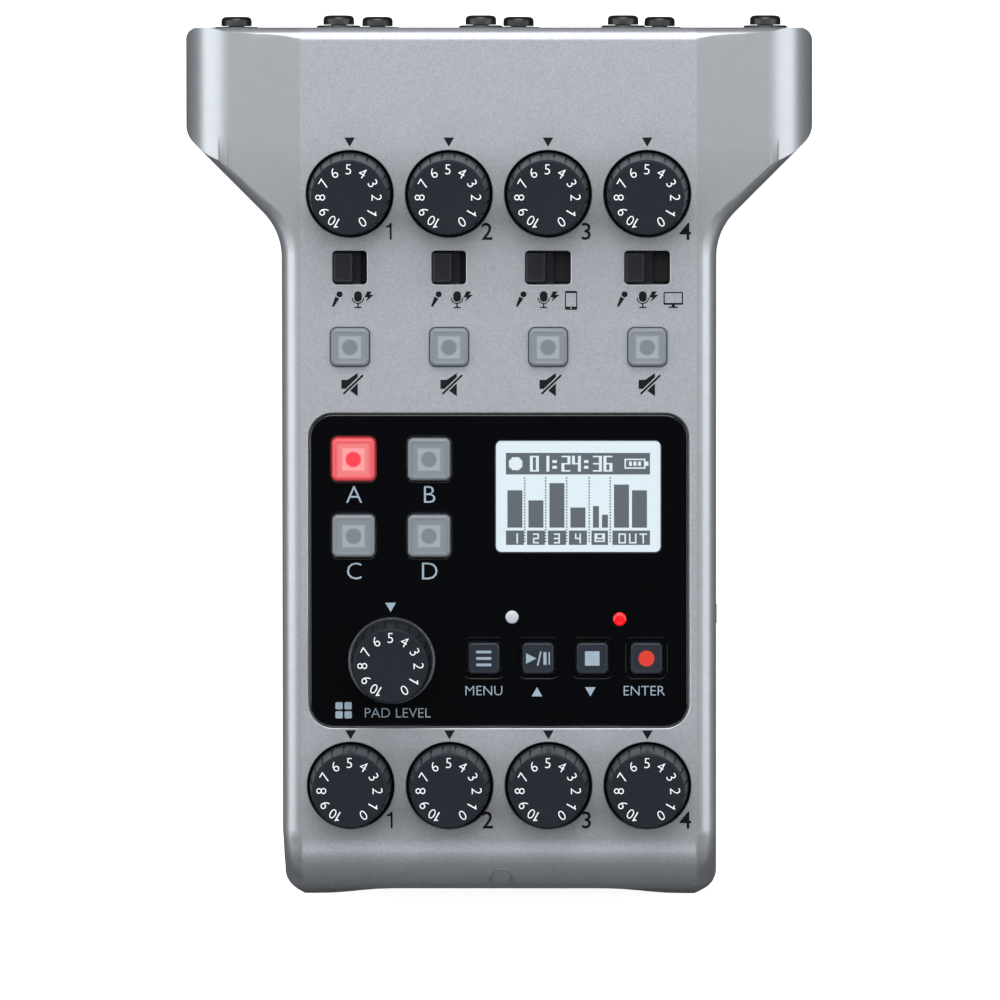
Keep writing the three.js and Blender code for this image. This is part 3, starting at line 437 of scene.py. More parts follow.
def sideHoles():
    gap, low, rim = case["gap"], side["holeLow"], side["rim"]
    usb = (side["usbWidth"] + 2 * gap, side["usbHeight"] + 2 * gap, side["usbCorner"])
    door = (side["doorLength"] + 2 * gap, side["doorHeight"] + 2 * gap, 0.4, side["cardY"], side["cardZ"])
    power = (2 * side["powerSlot"], side["powerHeight"] + gap, 0.3, side["powerY"], side["powerZ"])
    phone = roundHole(side["noseRadius"] + gap, rim, low)
    holes = [
        moved(flared(*usb, -side["leftUsbY"], side["usbZ"], low, rim), turnedOut[-1]),
        moved(flared(*usb, side["rightUsbY"], side["usbZ"], low, rim), turnedOut[1]),
        moved(phone, turnedOut[-1] @ at(-side["phoneY"], side["phoneZ"])),
        moved(flared(*door, low, rim), turnedOut[1]),
        moved(flared(*power, low, rim), turnedOut[1]),
    ]
    return moved(joined(holes, "sideHoles"), deckInMillimetres)


def rearHoles():
    gap = case["gap"]
    whole = jackOutline(gap, -jack["seat"] - gap, 5)
    carved(whole, drum("hole", jack["radius"] + gap, -jack["depth"] - 5, 5, 72), "UNION")
    housing = rectangle(jack["housingWidth"] + 2 * gap, jack["housingTop"] + gap, 0.4,
                        0, (jack["housingTop"] + gap) / 2)
    carved(whole, prism("hole", housing, -case["wall"] - 5, 5), "UNION")
    holes = [copied(whole, "hole", at(x, 0)) for x in jack["xs"]]
    bpy.data.objects.remove(whole)
    return moved(joined(holes, "rearHoles"), plainFrame.inverted() @ rearFrame)


def frontHoles():
    front = -case["depth"] / 2 + case["hollowDepth"]
    holes = [moved(roundHole(side["noseRadius"] + case["gap"], 0.2, -6, 3),
                   Matrix.Translation((x, front, side["frontZ"])) @ turned(90, "X"))
             for x in deck["channelXs"]]
    return joined(holes, "frontHoles")


def makeTopShell():
    shell = bodyForm(0, 5, 10)
    carved(shell, bodyForm(case["wall"], 12, 3))
    carved(shell, slab("under", (-99, -99, -99), (99, 99, case["seamHeight"])))
    for makeHoles in (deckHoles, sideHoles, rearHoles, frontHoles):
        carved(shell, makeHoles())
    openEdit(shell)
    for along, cuts in zip(Matrix.Identity(3), case["cuts"]):
        for distance in cuts:  # the long strips of a roll no longer share their bent ends
            selectAll()
            bpy.ops.mesh.bisect(plane_co=along * distance, plane_no=along)

    def frontCorner(vert):
        x, y, z = vert.co
        outside = vert.normal.z > -0.05 and vert.normal.x * x > -0.05 and vert.normal.y < 0.05
        return outside and abs(x) > case["blendX"] and y < case["blendY"] and z > case["blendZ"]

    pick("verts", frontCorner)
    bpy.ops.mesh.remove_doubles(threshold=case["blendMerge"])
    bpy.ops.mesh.vertices_smooth(factor=0.5, repeat=case["blendTimes"])
    closeEdit()
    return named(shell, "upperCase")


class Link:  # one socket, so that shader maths reads as maths
    def __init__(self, finish, socket):
        self.finish, self.socket = finish, socket

    def math(self, operation, *values):
        return self.finish.node("ShaderNodeMath", {"operation": operation}, dict(enumerate(values)))

    def __add__(self, other):
        return self.math("ADD", self, other)

    def __radd__(self, other):
        return self.math("ADD", other, self)

    def __sub__(self, other):
        return self.math("SUBTRACT", self, other)

    def __rsub__(self, other):
        return self.math("SUBTRACT", other, self)

    def __mul__(self, other):
        return self.math("MULTIPLY", self, other)

    def __rmul__(self, other):
        return self.math("MULTIPLY", other, self)

    def __abs__(self):
        return self.math("ABSOLUTE", self)

    def above(self, edge, soft=0.0001):  # 0 below an edge, 1 above it, with a soft step between
        return self.finish.node("ShaderNodeMapRange", {"interpolation_type": "SMOOTHSTEP"}, {
            "Value": self, "From Min": edge - soft, "From Max": edge + soft})


class Finish:
    def __init__(self, name, colour, roughness, metallic=0.0, **others):
        self.material = bpy.data.materials.new(name)
        self.material.use_nodes = True
        self.tree = self.material.node_tree
        self.shader = self.tree.nodes["Principled BSDF"]
        self.give("Base Color", (*colour, 1))
        self.give("Roughness", roughness)
        self.give("Metallic", metallic)
        for socket, value in others.items():
            self.give(socket.replace("_", " "), value)

    def node(self, kind, settings, values, output=0):
        node = self.tree.nodes.new(kind)
        for name, value in settings.items():
            setattr(node, name, value)
        for name, value in values.items():
            self.fill(node.inputs[name], value)
        return Link(self, node.outputs[output])

    def fill(self, socket, value):
        if isinstance(value, Link):
            self.tree.links.new(value.socket, socket)
        elif socket.type == "RGBA" and len(value) == 3:
            socket.default_value = (*value, 1)
        else:
            socket.default_value = value

    def give(self, socket, value):
        self.fill(self.shader.inputs[socket], value)

    def spot(self, matrix=toMetres):  # object coordinates in millimetres, centred on a piece's own frame
        back = matrix.inverted()
        return self.node("ShaderNodeMapping", {}, {
            "Vector": self.node("ShaderNodeTexCoord", {}, {}, 3), "Location": back.translation,
            "Rotation": back.to_euler(), "Scale": back.to_scale()})

    def axis(self, spot, letter):
        return self.node("ShaderNodeSeparateXYZ", {}, {0: spot}, "XYZ".index(letter))

    def noise(self, spot, scale, detail=2):
        return self.node("ShaderNodeTexNoise", {}, {"Vector": spot, "Scale": scale, "Detail": detail})

    def ranged(self, value, low, high):
        return self.node("ShaderNodeMapRange", {}, {"Value": value, "To Min": low, "To Max": high})

    def mixed(self, share, first, second):
        return self.node("ShaderNodeMix", {"data_type": "RGBA"}, {0: share, 6: first, 7: second}, 2)

    def clouded(self, scale, detail, spread):  # the base colour, a little darker and lighter in clouds
        colour = self.shader.inputs["Base Color"].default_value[:3]
        darker = [part * (1 - spread) for part in colour]
        lighter = [min(1, part * (1 + spread)) for part in colour]
        return self.mixed(self.noise(self.spot(), scale, detail), darker, lighter)

    def bumped(self, height, depth):  # depth in millimetres
        self.give("Normal", self.node("ShaderNodeBump", {}, {"Height": height, "Distance": depth * mm}))


def plainFinish(name, colour, roughness, metallic=0, grain=3, depth=0.01, spread=0.12, **others):
    finish = Finish(name, colour, roughness, metallic, **others)
    fine = finish.noise(finish.spot(), grain)
    finish.give("Base Color", finish.clouded(grain / 9, 3, spread))
    finish.give("Roughness", finish.ranged(fine, roughness * 0.88, min(1, roughness * 1.12)))
    finish.bumped(fine, depth)


def silverFinish():
    paint = {
        # painted shade: outside the crease the tilted wings get a darker copy of the plate's silver and fainter
        # flecks, standing in for the light falling off there
        "plate": (0.485, 0.507, 0.545), "wings": (0.425, 0.443, 0.468), "metallic": 0.62, "roughness": 0.36,
        "creaseX": 35.4, "fleck": 0.15, "fleckScale": 5.2, "grainDepth": 0.004,
    }
    finish = Finish("silverPaint", paint["plate"], paint["roughness"], paint["metallic"])
    spot = finish.spot()
    onPlate = 1 - abs(finish.axis(spot, "X")).above(paint["creaseX"], 0.25)
    flecks = finish.node("ShaderNodeTexVoronoi", {}, {"Vector": spot, "Scale": paint["fleckScale"]}, 1)
    glint = finish.ranged(finish.node("ShaderNodeRGBToBW", {}, {0: flecks}), -1, 1)
    cloud = finish.noise(spot, 0.35, 3)
    # painted shade: off the plate the flecks fade and the colour turns to the darker wing copy of the same
    # paint
    tone = 1 + glint * paint["fleck"] * (0.25 + 0.75 * onPlate) + (cloud - 0.5) * 0.08
    colour = finish.mixed(onPlate, paint["wings"], paint["plate"])
    finish.give("Base Color", finish.node("ShaderNodeVectorMath", {"operation": "SCALE"}, {
        0: colour, "Scale": tone}))
    grain = finish.noise(spot, 4, 2)
    finish.give("Roughness", finish.ranged(grain, paint["roughness"] - 0.04, paint["roughness"] + 0.06))
    finish.bumped(grain, paint["grainDepth"])


paints = {  # colour, roughness, metallic, grain, depth of the grain, spread of the colour
    "markSilver": ((0.34, 0.355, 0.38), 0.42, 0.62, 4, 0.004),
    "lowerPlastic": ((0.022, 0.024, 0.027), 0.55, 0, 5, 0.03),
    "panelGloss": ((0.0010, 0.0012, 0.0020), 0.09, 0, 1, 0.0006, 0.3),
    "paleInk": ((0.28, 0.365, 0.44), 0.5, 0, 6, 0.004),
    "whiteInk": ((0.82, 0.84, 0.86), 0.5, 0, 6, 0.004, 0.04),
    "redInk": ((0.60, 0.028, 0.010), 0.45, 0, 6, 0.004, 0.06),
    "jackPlastic": ((0.016, 0.017, 0.019), 0.42, 0, 5, 0.012),
    "blackSteel": ((0.035, 0.036, 0.038), 0.33, 0.75, 7, 0.012),
    "brightSteel": ((0.62, 0.63, 0.65), 0.26, 1, 5, 0.006),
    "goldPlate": ((0.78, 0.55, 0.22), 0.28, 1, 5, 0.005),
    "footRubber": ((0.014, 0.014, 0.014), 0.85, 0, 5, 0.05),
    "circuitBoard": ((0.010, 0.011, 0.013), 0.42, 0, 2, 0.01),
    "cellWrap": ((0.04, 0.05, 0.065), 0.35, 0.2, 1, 0.004),
    "cardPlastic": ((0.020, 0.022, 0.026), 0.5, 0, 5, 0.01),
}
dullPaints = {  # the same, and the strength of the highlights last
    "knobPlastic": ((0.0145, 0.0175, 0.024), 0.38, 0, 4, 0.006, 0.12),
    "keyPlastic": ((0.015, 0.020, 0.030), 0.36, 0, 4, 0.006, 0.35),
    "leverPlastic": ((0.010, 0.012, 0.018), 0.4, 0, 4, 0.008, 0.3),
    "darkInk": ((0.006, 0.007, 0.011), 0.6, 0, 6, 0.004, 0.12),
}
silverFinish()
for name, values in paints.items():
    plainFinish(name, *values)
for name, (*values, highlight) in dullPaints.items():
    plainFinish(name, *values, Specular_IOR_Level=highlight)
print("finishes made")

finished(makeTopShell(), "silverPaint", "recorder", plainFrame, node="top_shell", slot="silver_shell")
print("upper case made")

# Deck controls
knob = {
    "skirtRadius": 7.35, "skirtLow": -1.4, "skirtTop": 0.7, "gripTop": 6.72, "capRadius": 6.35, "height": 10,
    "shaftRadius": 3, "shaftLow": -8, "edge": 0.3, "dip": 0.06, "grooves": 20, "grooveWidth": 0.34,
    "grooveDepth": 0.32, "grooveEnd": 0.55, "reach": 9, "digitHeight": 1.85, "digitRadius": 5.02,
    "inkThickness": 0.03, "digitStroke": -0.028, "degreesPerDigit": 30,
}


def makeKnob():
    top, edge, skirt, grip = knob["height"], knob["edge"], knob["skirtRadius"], knob["gripTop"]
    low, high = knob["skirtLow"], knob["skirtTop"]
    profile = [(0, knob["shaftLow"]), (knob["shaftRadius"], knob["shaftLow"]), (knob["shaftRadius"], low),
               (skirt - 0.15, low), (skirt, low + 0.15), (skirt, high - 0.1), (skirt - 0.1, high)]
    profile += [(grip - edge * (1 - up) * 1.2, top - edge * (1 - out)) for out, up in arc(4)]
    profile += [(knob["capRadius"] - 0.25, top - knob["dip"]), (0, top - knob["dip"])]
    whole = revolved("knob", profile, 120)
    slope = (skirt - grip) / (top - high)
    half, far, reach = knob["grooveWidth"] / 2, knob["reach"], grip - knob["grooveDepth"]
    low, high = high + 0.15, top - knob["grooveEnd"]

    def slot(near):
        return [(near, -half, 0), (far, -half, 0), (far, half, 0), (near, half, 0)]

    rings = [(slot(reach + slope * (high - low)), low), (slot(reach), high), (slot(far - 1), high + 0.5)]
    grooves = [moved(tower("groove", rings), turned((number + 0.5) * 360 / knob["grooves"], "Z"))
               for number in range(knob["grooves"])]
    return carved(whole, joined(grooves, "grooves"))


def lettered(name, text, height, matrix, stroke=0, thickness=0.03):
    piece = started(name, bpy.ops.object.text_add)
    piece.data.body = text
    piece.data.resolution_u = 3
    bpy.context.view_layer.update()
    piece.data.size = height / piece.dimensions.y
    piece.data.offset = stroke
    piece.data.extrude = thickness / 2
    bpy.ops.object.convert(target="MESH")
    piece = named(bpy.context.object, name)
    box = [[end(vert.co[axis] for vert in piece.data.vertices) for end in (min, max)] for axis in (0, 1)]
    moved(piece, Matrix.Translation(-Vector([sum(pair) / 2 for pair in box] + [0])))
    openEdit(piece, "VERT")
    selectAll()
    bpy.ops.mesh.remove_doubles(threshold=0.001)
    closeEdit()
    return moved(piece, matrix)


def figure(text, height, matrix, stroke):  # a number; its 1 gets the flag of the real lettering
    half = knob["inkThickness"] / 2
    if text == "1":
        outline = ((0.11, -0.5), (0.23, -0.5), (0.23, 0.5), (0.14, 0.5), (0.05, 0.37), (-0.12, 0.31),
                   (-0.12, 0.22), (0.11, 0.24))
        return moved(prism("digit", [(x * height, y * height, 0) for x, y in outline], -half, half), matrix)
    if text == "10":
        return joined([figure(digit, height, matrix @ at(x * height, 0), stroke)
                       for digit, x in (("1", -0.42), ("0", 0.28))], "digit")
    return lettered("digit", text, height, matrix, stroke, 2 * half)


def makeKnobNumbers():
    digits = []
    for number in range(11):
        angle = 90 - (5 - number) * knob["degreesPerDigit"]
        spot = at(*around(knob["digitRadius"], angle), knob["height"] - 0.045, angle - 90)
        digits.append(figure(str(number), knob["digitHeight"], spot, knob["digitStroke"]))
    return joined(digits, "knobNumbers")


def label(node):  # a node's name as a piece's name
    first, *others = node.split("_")
    return first + "".join(word.title() for word in others)


knobPlaces = {f"{kind}_knob_{number}": (x, deck[kind + "Y"]) for kind in ("gain", "volume")
              for number, x in enumerate(deck["channelXs"], 1)}
knobPlaces["pad_level_knob"] = deck["padKnob"]
knobShape, knobNumbers = pattern(makeKnob()), pattern(makeKnobNumbers())
for name, (x, y) in knobPlaces.items():
    placed(knobShape, label(name), "knobPlastic", name, deckFrame @ at(x, y), 28, name, "knob_plastic")
    placed(knobNumbers, label(name) + "Numbers", "whiteInk", name, deckFrame @ at(x, y), weighted=False)
print("knobs made")

button = {
    "muteWidth": 6.85, "muteCorner": 1.15, "padWidth": 7.6, "padCorner": 1, "rise": 1.2, "edge": 0.55,
    "keyWidth": 5.55, "keyCorner": 0.8, "keyRise": 0.7, "keyEdge": 0.3, "flangeReach": 1.0, "stemRadius": 1.4,
    "stemLow": -6.5, "padXs": (-25.95, -12.45), "padYs": (0.425, -13.325),
    "keyXs": (-2.7, 7.0, 16.7, 26.4), "keyY": -35.3, "dish": 0.12, "lip": 0.25, "onPanel": -1.3,
}


def makeButton(name, width, corner, under, rise=button["rise"], edge=button["edge"], lip=button["lip"],
               dish=button["dish"]):
    cap = capped(width, width, corner, under - 0.8, rise, edge, 5, lip, dish)
    wide = width + 2 * button["flangeReach"]
    carved(cap, prism("flange", rectangle(wide, wide, corner), under - 1.3, under - 0.3), "UNION")
    carved(cap, drum("stem", button["stemRadius"], button["stemLow"], under - 1, 24), "UNION")
    return pattern(named(cap, name))


def siliconeFinish(name, matrix, lit=False):
    look = {
        "rim": (0.165, 0.185, 0.205), "body": (0.185, 0.210, 0.235), "window": (0.30, 0.33, 0.37),
        "dot": (0.155, 0.17, 0.195), "windowHalf": 1.98, "dotRadius": 1.4, "rimHalf": 2.9,
    }
    if lit:
        look |= {"rim": (0.50, 0.05, 0.06), "body": (0.50, 0.12, 0.125), "window": (0.66, 0.22, 0.22),
                 "dot": (1.0, 0.012, 0.03)}
    finish = Finish(name, look["body"], 0.42, Coat_Weight=0.1, Coat_Roughness=0.2)
    spot = finish.spot(matrix)
    wideX, wideY = abs(finish.axis(spot, "X")), abs(finish.axis(spot, "Y"))
    square = wideX.math("MAXIMUM", wideX, wideY)
    flat = finish.node("ShaderNodeVectorMath", {"operation": "MULTIPLY"}, {0: spot, 1: (1, 1, 0)})
    reach = finish.node("ShaderNodeVectorMath", {"operation": "LENGTH"}, {0: flat}, 1)
    cloud = finish.noise(spot, 0.7)
    colour = finish.mixed(square.above(look["rimHalf"], 0.35), look["body"], look["rim"])
    inWindow = (1 - square.above(look["windowHalf"], 0.2)) * (0.75 + 0.3 * cloud)
    colour = finish.mixed(inWindow, colour, look["window"])
    colour = finish.mixed((1 - reach.above(look["dotRadius"], 0.22)) * 0.95, colour, look["dot"])
    finish.give("Base Color", colour)
    if lit:
        finish.give("Emission Color", colour)
        finish.give("Emission Strength", 0.5)
    fine = finish.noise(spot, 4)
    finish.give("Roughness", finish.ranged(fine, 0.36, 0.48))
    finish.bumped(fine, 0.008)
    return name


muteShape = makeButton("mute", button["muteWidth"], button["muteCorner"], -case["wall"])
for number, x in enumerate(deck["channelXs"], 1):
    node, spot = f"mute_button_{number}", deckFrame @ at(x, deck["muteY"])
    finish = siliconeFinish(f"muteSilicone{number}", spot)
    placed(muteShape, label(node), finish, node, spot, 40, node, "silicone")

padShape = makeButton("pad", button["padWidth"], button["padCorner"], button["onPanel"])
padPlaces = dict(zip("abcd", [(x, y) for y in button["padYs"] for x in button["padXs"]]))
for letter, (x, y) in padPlaces.items():
    node, spot, lit = f"sound_pad_{letter}", deckFrame @ at(x, y), letter == "a"
    finish = siliconeFinish(f"padSilicone{letter.title()}", spot, lit)
    placed(padShape, label(node), finish, node, spot, 40, node, "lit_silicone" if lit else "silicone")

keyShape = makeButton("key", button["keyWidth"], button["keyCorner"], button["onPanel"], button["keyRise"],
                      button["keyEdge"], 0.3, 0.04)
for name, x in zip(("menu_key", "play_key", "stop_key", "record_key"), button["keyXs"]):
    spot = deckFrame @ at(x, button["keyY"])
    placed(keyShape, label(name), "keyPlastic", name, spot, 40, name, "key_plastic")

lever = {"width": 3.4, "length": 5.4, "corner": 0.35, "low": -3, "rise": 0.5, "edge": 0.3,
         "travels": (2.4, 2.4, 4.4, 4.4)}
leverShape = pattern(capped(lever["width"], lever["length"], lever["corner"], lever["low"], lever["rise"],
                            lever["edge"], 4, 0.12, 0.09))
carved(leverShape, prism("plate", rectangle(6.2, 8.2, 0.4), -3.5, -2.5), "UNION")
carved(leverShape, prism("stem", rectangle(1.6, 1.6, 0.2), -5.5, -3), "UNION")
for number, (x, travel) in enumerate(zip(deck["channelXs"], lever["travels"]), 1):
    node, spot = f"input_switch_{number}", deckFrame @ at(x - travel / 2, deck["switchY"])
    placed(leverShape, f"inputLever{number}", "leverPlastic", node, spot, 40, node, "key_plastic")
print("buttons and levers made")

# Control panel, lamps and display
panel = {
    "top": -0.1, "thickness": 1.2, "edge": 0.3, "rim": 0.18, "cornerGap": 0.3, "holeLow": -9,
    "keyRim": 0.02, "keyFrame": 7.2, "keyFrameCorner": 1.15, "keyFrameDepth": 0.3,
    "windowWidth": 29.5, "windowLength": 20, "windowCorner": 1, "window": (14.2, -6.3), "lampRadius": 1.15,
    "lampGap": 0.08, "lampRim": 0.05, "lamps": {"white": (2.35, -27.95), "red": (21.6, -28.3)},
}


def makePanel():
    low, gap, rim = panel["holeLow"], panel["cornerGap"], panel["rim"]
    plate = capped(deck["panelWidth"], deck["panelLength"], deck["panelCorner"],
                   panel["top"] - panel["thickness"], panel["top"], panel["edge"])
    moved(plate, at(0, deck["panelY"]))
    key, pad, frame = button["keyWidth"] + 2 * gap, button["padWidth"] + 2 * gap, panel["keyFrame"]
    keySpots = [(x, button["keyY"]) for x in button["keyXs"]]
    holes = [flared(pad, pad, button["padCorner"] + gap, *spot, low, rim) for spot in padPlaces.values()]
    holes += [flared(key, key, button["keyCorner"] + gap, *spot, low, panel["keyRim"]) for spot in keySpots]
    window = (panel["windowWidth"], panel["windowLength"], panel["windowCorner"], *panel["window"])
    holes += [moved(roundHole(deck["knobHole"], rim), at(*deck["padKnob"])), flared(*window, low, rim)]
    holes += [moved(roundHole(panel["lampRadius"] + panel["lampGap"], panel["lampRim"]), at(*spot))
              for spot in panel["lamps"].values()]
    frames = [flared(frame, frame, panel["keyFrameCorner"], *spot, -panel["keyFrameDepth"], rim)
              for spot in keySpots]
    for cutters in (holes, frames):
        carved(plate, moved(joined(cutters, "holes"), at(0, 0, panel["top"])))
    return plate


plate = finished(makePanel(), "panelGloss", "recorder", deckFrame, 30, "control_panel", "gloss_panel")
plate.name = "panelPlate"


def glowFinish(name, colour, strength, roughness=0.25, spread=0.06, **others):
    glow = Finish(name, colour, roughness, **others)
    tone = glow.clouded(0.4, 2, spread)
    glow.give("Base Color", tone)
    glow.give("Emission Color", tone)
    glow.give("Emission Strength", strength)
    return name


reach = panel["lampRadius"]
lampShape = pattern(revolved("lamp", [(0, -1.2), (reach, -1.2), (reach, -0.14), (reach - 0.12, -0.04),
                                      (0.5, 0.02), (0, 0.03)], 40))
for name, tone, strength in (("white", (0.42, 0.45, 0.49), 0.15), ("red", (0.85, 0.004, 0.008), 0.6)):
    placed(lampShape, name + "Lamp", glowFinish(name + "LampLens", tone, strength), "recorder",
           deckFrame @ at(*panel["lamps"][name]), 40)

screen = {
    "low": -0.42, "glass": -0.36, "edge": 0.05, "columns": 96, "rows": 64, "width": 25.75, "length": 16.5,
    "centre": (14.15, -6.75), "ink": 0.025, "backlight": (0.40, 0.455, 0.49), "glow": 0.7, "sunk": 0.005,
}
glassCoat = {"Coat_Weight": 0.6, "Coat_Roughness": 0.05}
glassOutline = rectangle(panel["windowWidth"] - 2 * screen["edge"], panel["windowLength"] - 2 * screen["edge"],
                         panel["windowCorner"] - screen["edge"], *panel["window"])
finished(prism("displayGlass", glassOutline, screen["low"], screen["glass"]),
         glowFinish("displayBacklight", screen["backlight"], screen["glow"], 0.3, 0.02, **glassCoat),
         "recorder", deckFrame, slot="display_glass")

strokes = {  # a digit's bars: a top, b upper right, c lower right, d foot, e lower left, f upper left, g middle
    "0": "abcdef", "1": "bc", "2": "abged", "3": "abgcd", "4": "fgbc", "6": "afgedc", "U": "bcdef", "T": "ahi",
    ":": "jk",
}


def block(x, y, width, height):
    return {(x + column, y + row) for column in range(width) for row in range(height)}


def digitCells(text, x, y, width, height, pitch):  # cells that a word lights, from its upper left
    last, half, foot = width - 1, (height - 1) // 2, height - 1
    centre = last // 2
    bars = {
        "a": (0, last, 0, 0), "b": (last, last, 0, half), "c": (last, last, half, foot),
        "d": (0, last, foot, foot), "e": (0, 0, half, foot), "f": (0, 0, 0, half), "g": (0, last, half, half),
        "h": (centre, centre, 0, half), "i": (centre, centre, half, foot),
        "j": (1, 2, half - 2, half - 1), "k": (1, 2, half + 2, half + 3),
    }
    lit = set()
    for number, letter in enumerate(text):
        for bar in strokes[letter]:
            left, right, top, bottom = bars[bar]
            lit |= block(x + number * pitch + left, y + top, right - left + 1, bottom - top + 1)
    return lit


def displayCells():
    dark = block(0, 0, 96, 15)
    dark -= {cell for cell in block(1, 2, 11, 11) if (cell[0] - 6) ** 2 + (cell[1] - 7) ** 2 < 22}
    clock = digitCells("01:24:36", 16, 2, 5, 11, 7)
    dark -= clock | {(column + 1, row) for column, row in clock}
    dark -= block(79, 4, 14, 7) - block(80, 5, 12, 5) | block(93, 6, 2, 3)
    dark -= block(82, 6, 2, 3) | block(85, 6, 2, 3) | block(88, 6, 2, 3)
    for x, height in ((1, 26), (15, 19), (29, 31), (43, 14)):
        dark |= block(x, 52 - height, 10, height)
    dark |= block(58, 37, 4, 15) | block(64, 43, 4, 9) | block(72, 22, 10, 30) | block(84, 26, 10, 26)
    for x in (12, 26, 40, 55, 69):
        dark |= {(x, row) for row in range(17, 63, 2)}
    for digit, x in zip("1234", (0, 14, 28, 42)):
        dark |= block(x, 54, 12, 10) - digitCells(digit, x + 4, 56, 4, 7, 5)
    dark |= block(57, 54, 11, 10) - (block(59, 56, 7, 6) - block(61, 57, 3, 2) - block(60, 60, 5, 1))
    return dark | block(71, 54, 25, 10) - digitCells("0UT", 75, 56, 5, 7, 7)


def makeScreenMarks():
    wide, tall, dark = screen["width"], screen["length"], displayCells()
    piece = started("displayMarks", bpy.ops.mesh.primitive_grid_add, x_subdivisions=screen["columns"],
                    y_subdivisions=screen["rows"], size=2)
    moved(piece, Matrix.Diagonal((wide / 2, tall / 2, 1, 1)))

    def bright(face):
        spot = face.calc_center_median()
        column = int((spot.x + wide / 2) * screen["columns"] / wide)
        return (column, int((tall / 2 - spot.y) * screen["rows"] / tall)) not in dark

    openEdit(piece)
    pick("faces", bright)
    bpy.ops.mesh.delete(type="FACE")
    selectAll()
    bpy.ops.mesh.dissolve_limited(angle_limit=0.01)
    selectAll()
    bpy.ops.mesh.extrude_region_move(TRANSFORM_OT_translate={"value": (0, 0, screen["ink"])})
    closeEdit()
    return outwards(piece)


plainFinish("displayInk", (0.085, 0.102, 0.118), 0.45, 0, 3, 0.001, 0.06, **glassCoat)
finished(makeScreenMarks(), "displayInk", "recorder",
         deckFrame @ at(*screen["centre"], screen["glass"] - screen["sunk"]), weighted=False)
print("panel and display made")

# Printing on the deck, the panel and the keys
ink = {
    "deckLow": -0.01, "panelLow": -0.11, "keyLow": 0.65, "thickness": 0.03, "step": 12, "pointer": (1.9, 1.65),
    "gainPointerY": 57.15, "volumePointerY": -49.1, "padPointer": (-19.36, -26.2),
    "digit": 3.0, "digitX": 6.8, "gainDigitY": 41.2, "volumeDigitY": -64.4, "digitStroke": 0.035,
    "iconY": 28.95, "micXs": (-2.35, -2.35, -4.9, -4.55), "studioXs": (1.45, 1.45, -0.8, -0.8),
    "boltXs": (3.4, 3.4, 1.16, 1.16), "phoneX": 4.1, "screenX": 4.65, "speaker": (0.35, 13.7),
    "padLetter": 3.1, "padLetterDrop": 6.35, "letterStroke": -0.05, "keyWord": 1.74, "keyWordY": -41.15,
    "wordStroke": -0.025, "arrowXs": (6.8, 16.35), "gridIcon": (-27.8, -44.7), "padWord": (-18.1, -45.15),
}


def printed(shapes, holes=(), low=ink["deckLow"]):  # outlines of (x, y, radius), filled with ink
    body = joined([prism("ink", shape, low, low + ink["thickness"], ink["step"]) for shape in shapes], "ink")
    for hole in holes:
        carved(body, prism("hole", hole, low - 1, low + 1, ink["step"]))
    return body


def shape(*points):
    return [(x, y, 0) for x, y in points]


def disc(x, y, radius):
    return [(x + sideX * radius, y + sideY * radius, radius * 0.999) for sideX, sideY in
            ((1, -1), (1, 1), (-1, 1), (-1, -1))]


def ringPart(radius, width, start, end, steps, y):  # part of a ring, between two angles
    points = [[(x, y + up) for x, up in (around(reach, start + (end - start) * step / steps)
              for step in range(steps + 1))] for reach in (radius, radius - width)]
    return shape(*points[0], *reversed(points[1]))


def micIcon():
    return printed([disc(0.50, 0.98, 0.54), shape((-0.24, 0.60), (-0.86, -1.17), (-0.56, -1.30), (0.46, 0.20))])


def studioIcon():
    return printed([rectangle(1.38, 1.9, 0.68, 0, 0.58), ringPart(1.11, 0.2, 180, 360, 14, 0.36),
                    rectangle(0.26, 0.6, 0, 0, -1), rectangle(1.26, 0.24, 0, 0, -1.38)])


def boltIcon():
    return printed([shape((-0.30, 0.95), (0.55, 0.95), (0.16, 0.35), (0.88, 0.35), (-0.62, -0.95),
                          (-0.20, -0.12), (-0.82, -0.12))])


def phoneIcon():
    return printed([rectangle(2.2, 3.4, 0.32)], [rectangle(1.82, 2.42, 0.05, 0, 0.1), disc(0, -1.4, 0.15)])


def screenIcon():
    stand = [shape((-0.35, -1.15), (0.35, -1.15), (0.25, -0.8), (-0.25, -0.8)),
             rectangle(1.7, 0.24, 0.05, 0, -1.25)]
    glass = printed([rectangle(3.5, 2.3, 0.2, 0, 0.35)], [rectangle(3.05, 1.75, 0.05, 0, 0.42)])
    return joined([glass, printed(stand)], "ink")


def speakerIcon():
    slant = at(0.22, 0.07, 0, 43.9)
    speaker = printed([shape((-1.9, 0.92), (-1.9, -0.70), (-0.78, -0.70), (1.03, -2.05), (1.03, 2.15),
                             (-0.78, 0.92))])
    carved(speaker, moved(prism("hole", rectangle(6, 0.78), -1, 1), slant))
    return joined([speaker, moved(printed([rectangle(4.9, 0.35, 0.1)]), slant)], "ink")


def pointer(up=False):
    half, tall = ink["pointer"][0] / 2, ink["pointer"][1] / (2 if up else -2)
    return shape((0, tall), (-half, -tall), (half, -tall))


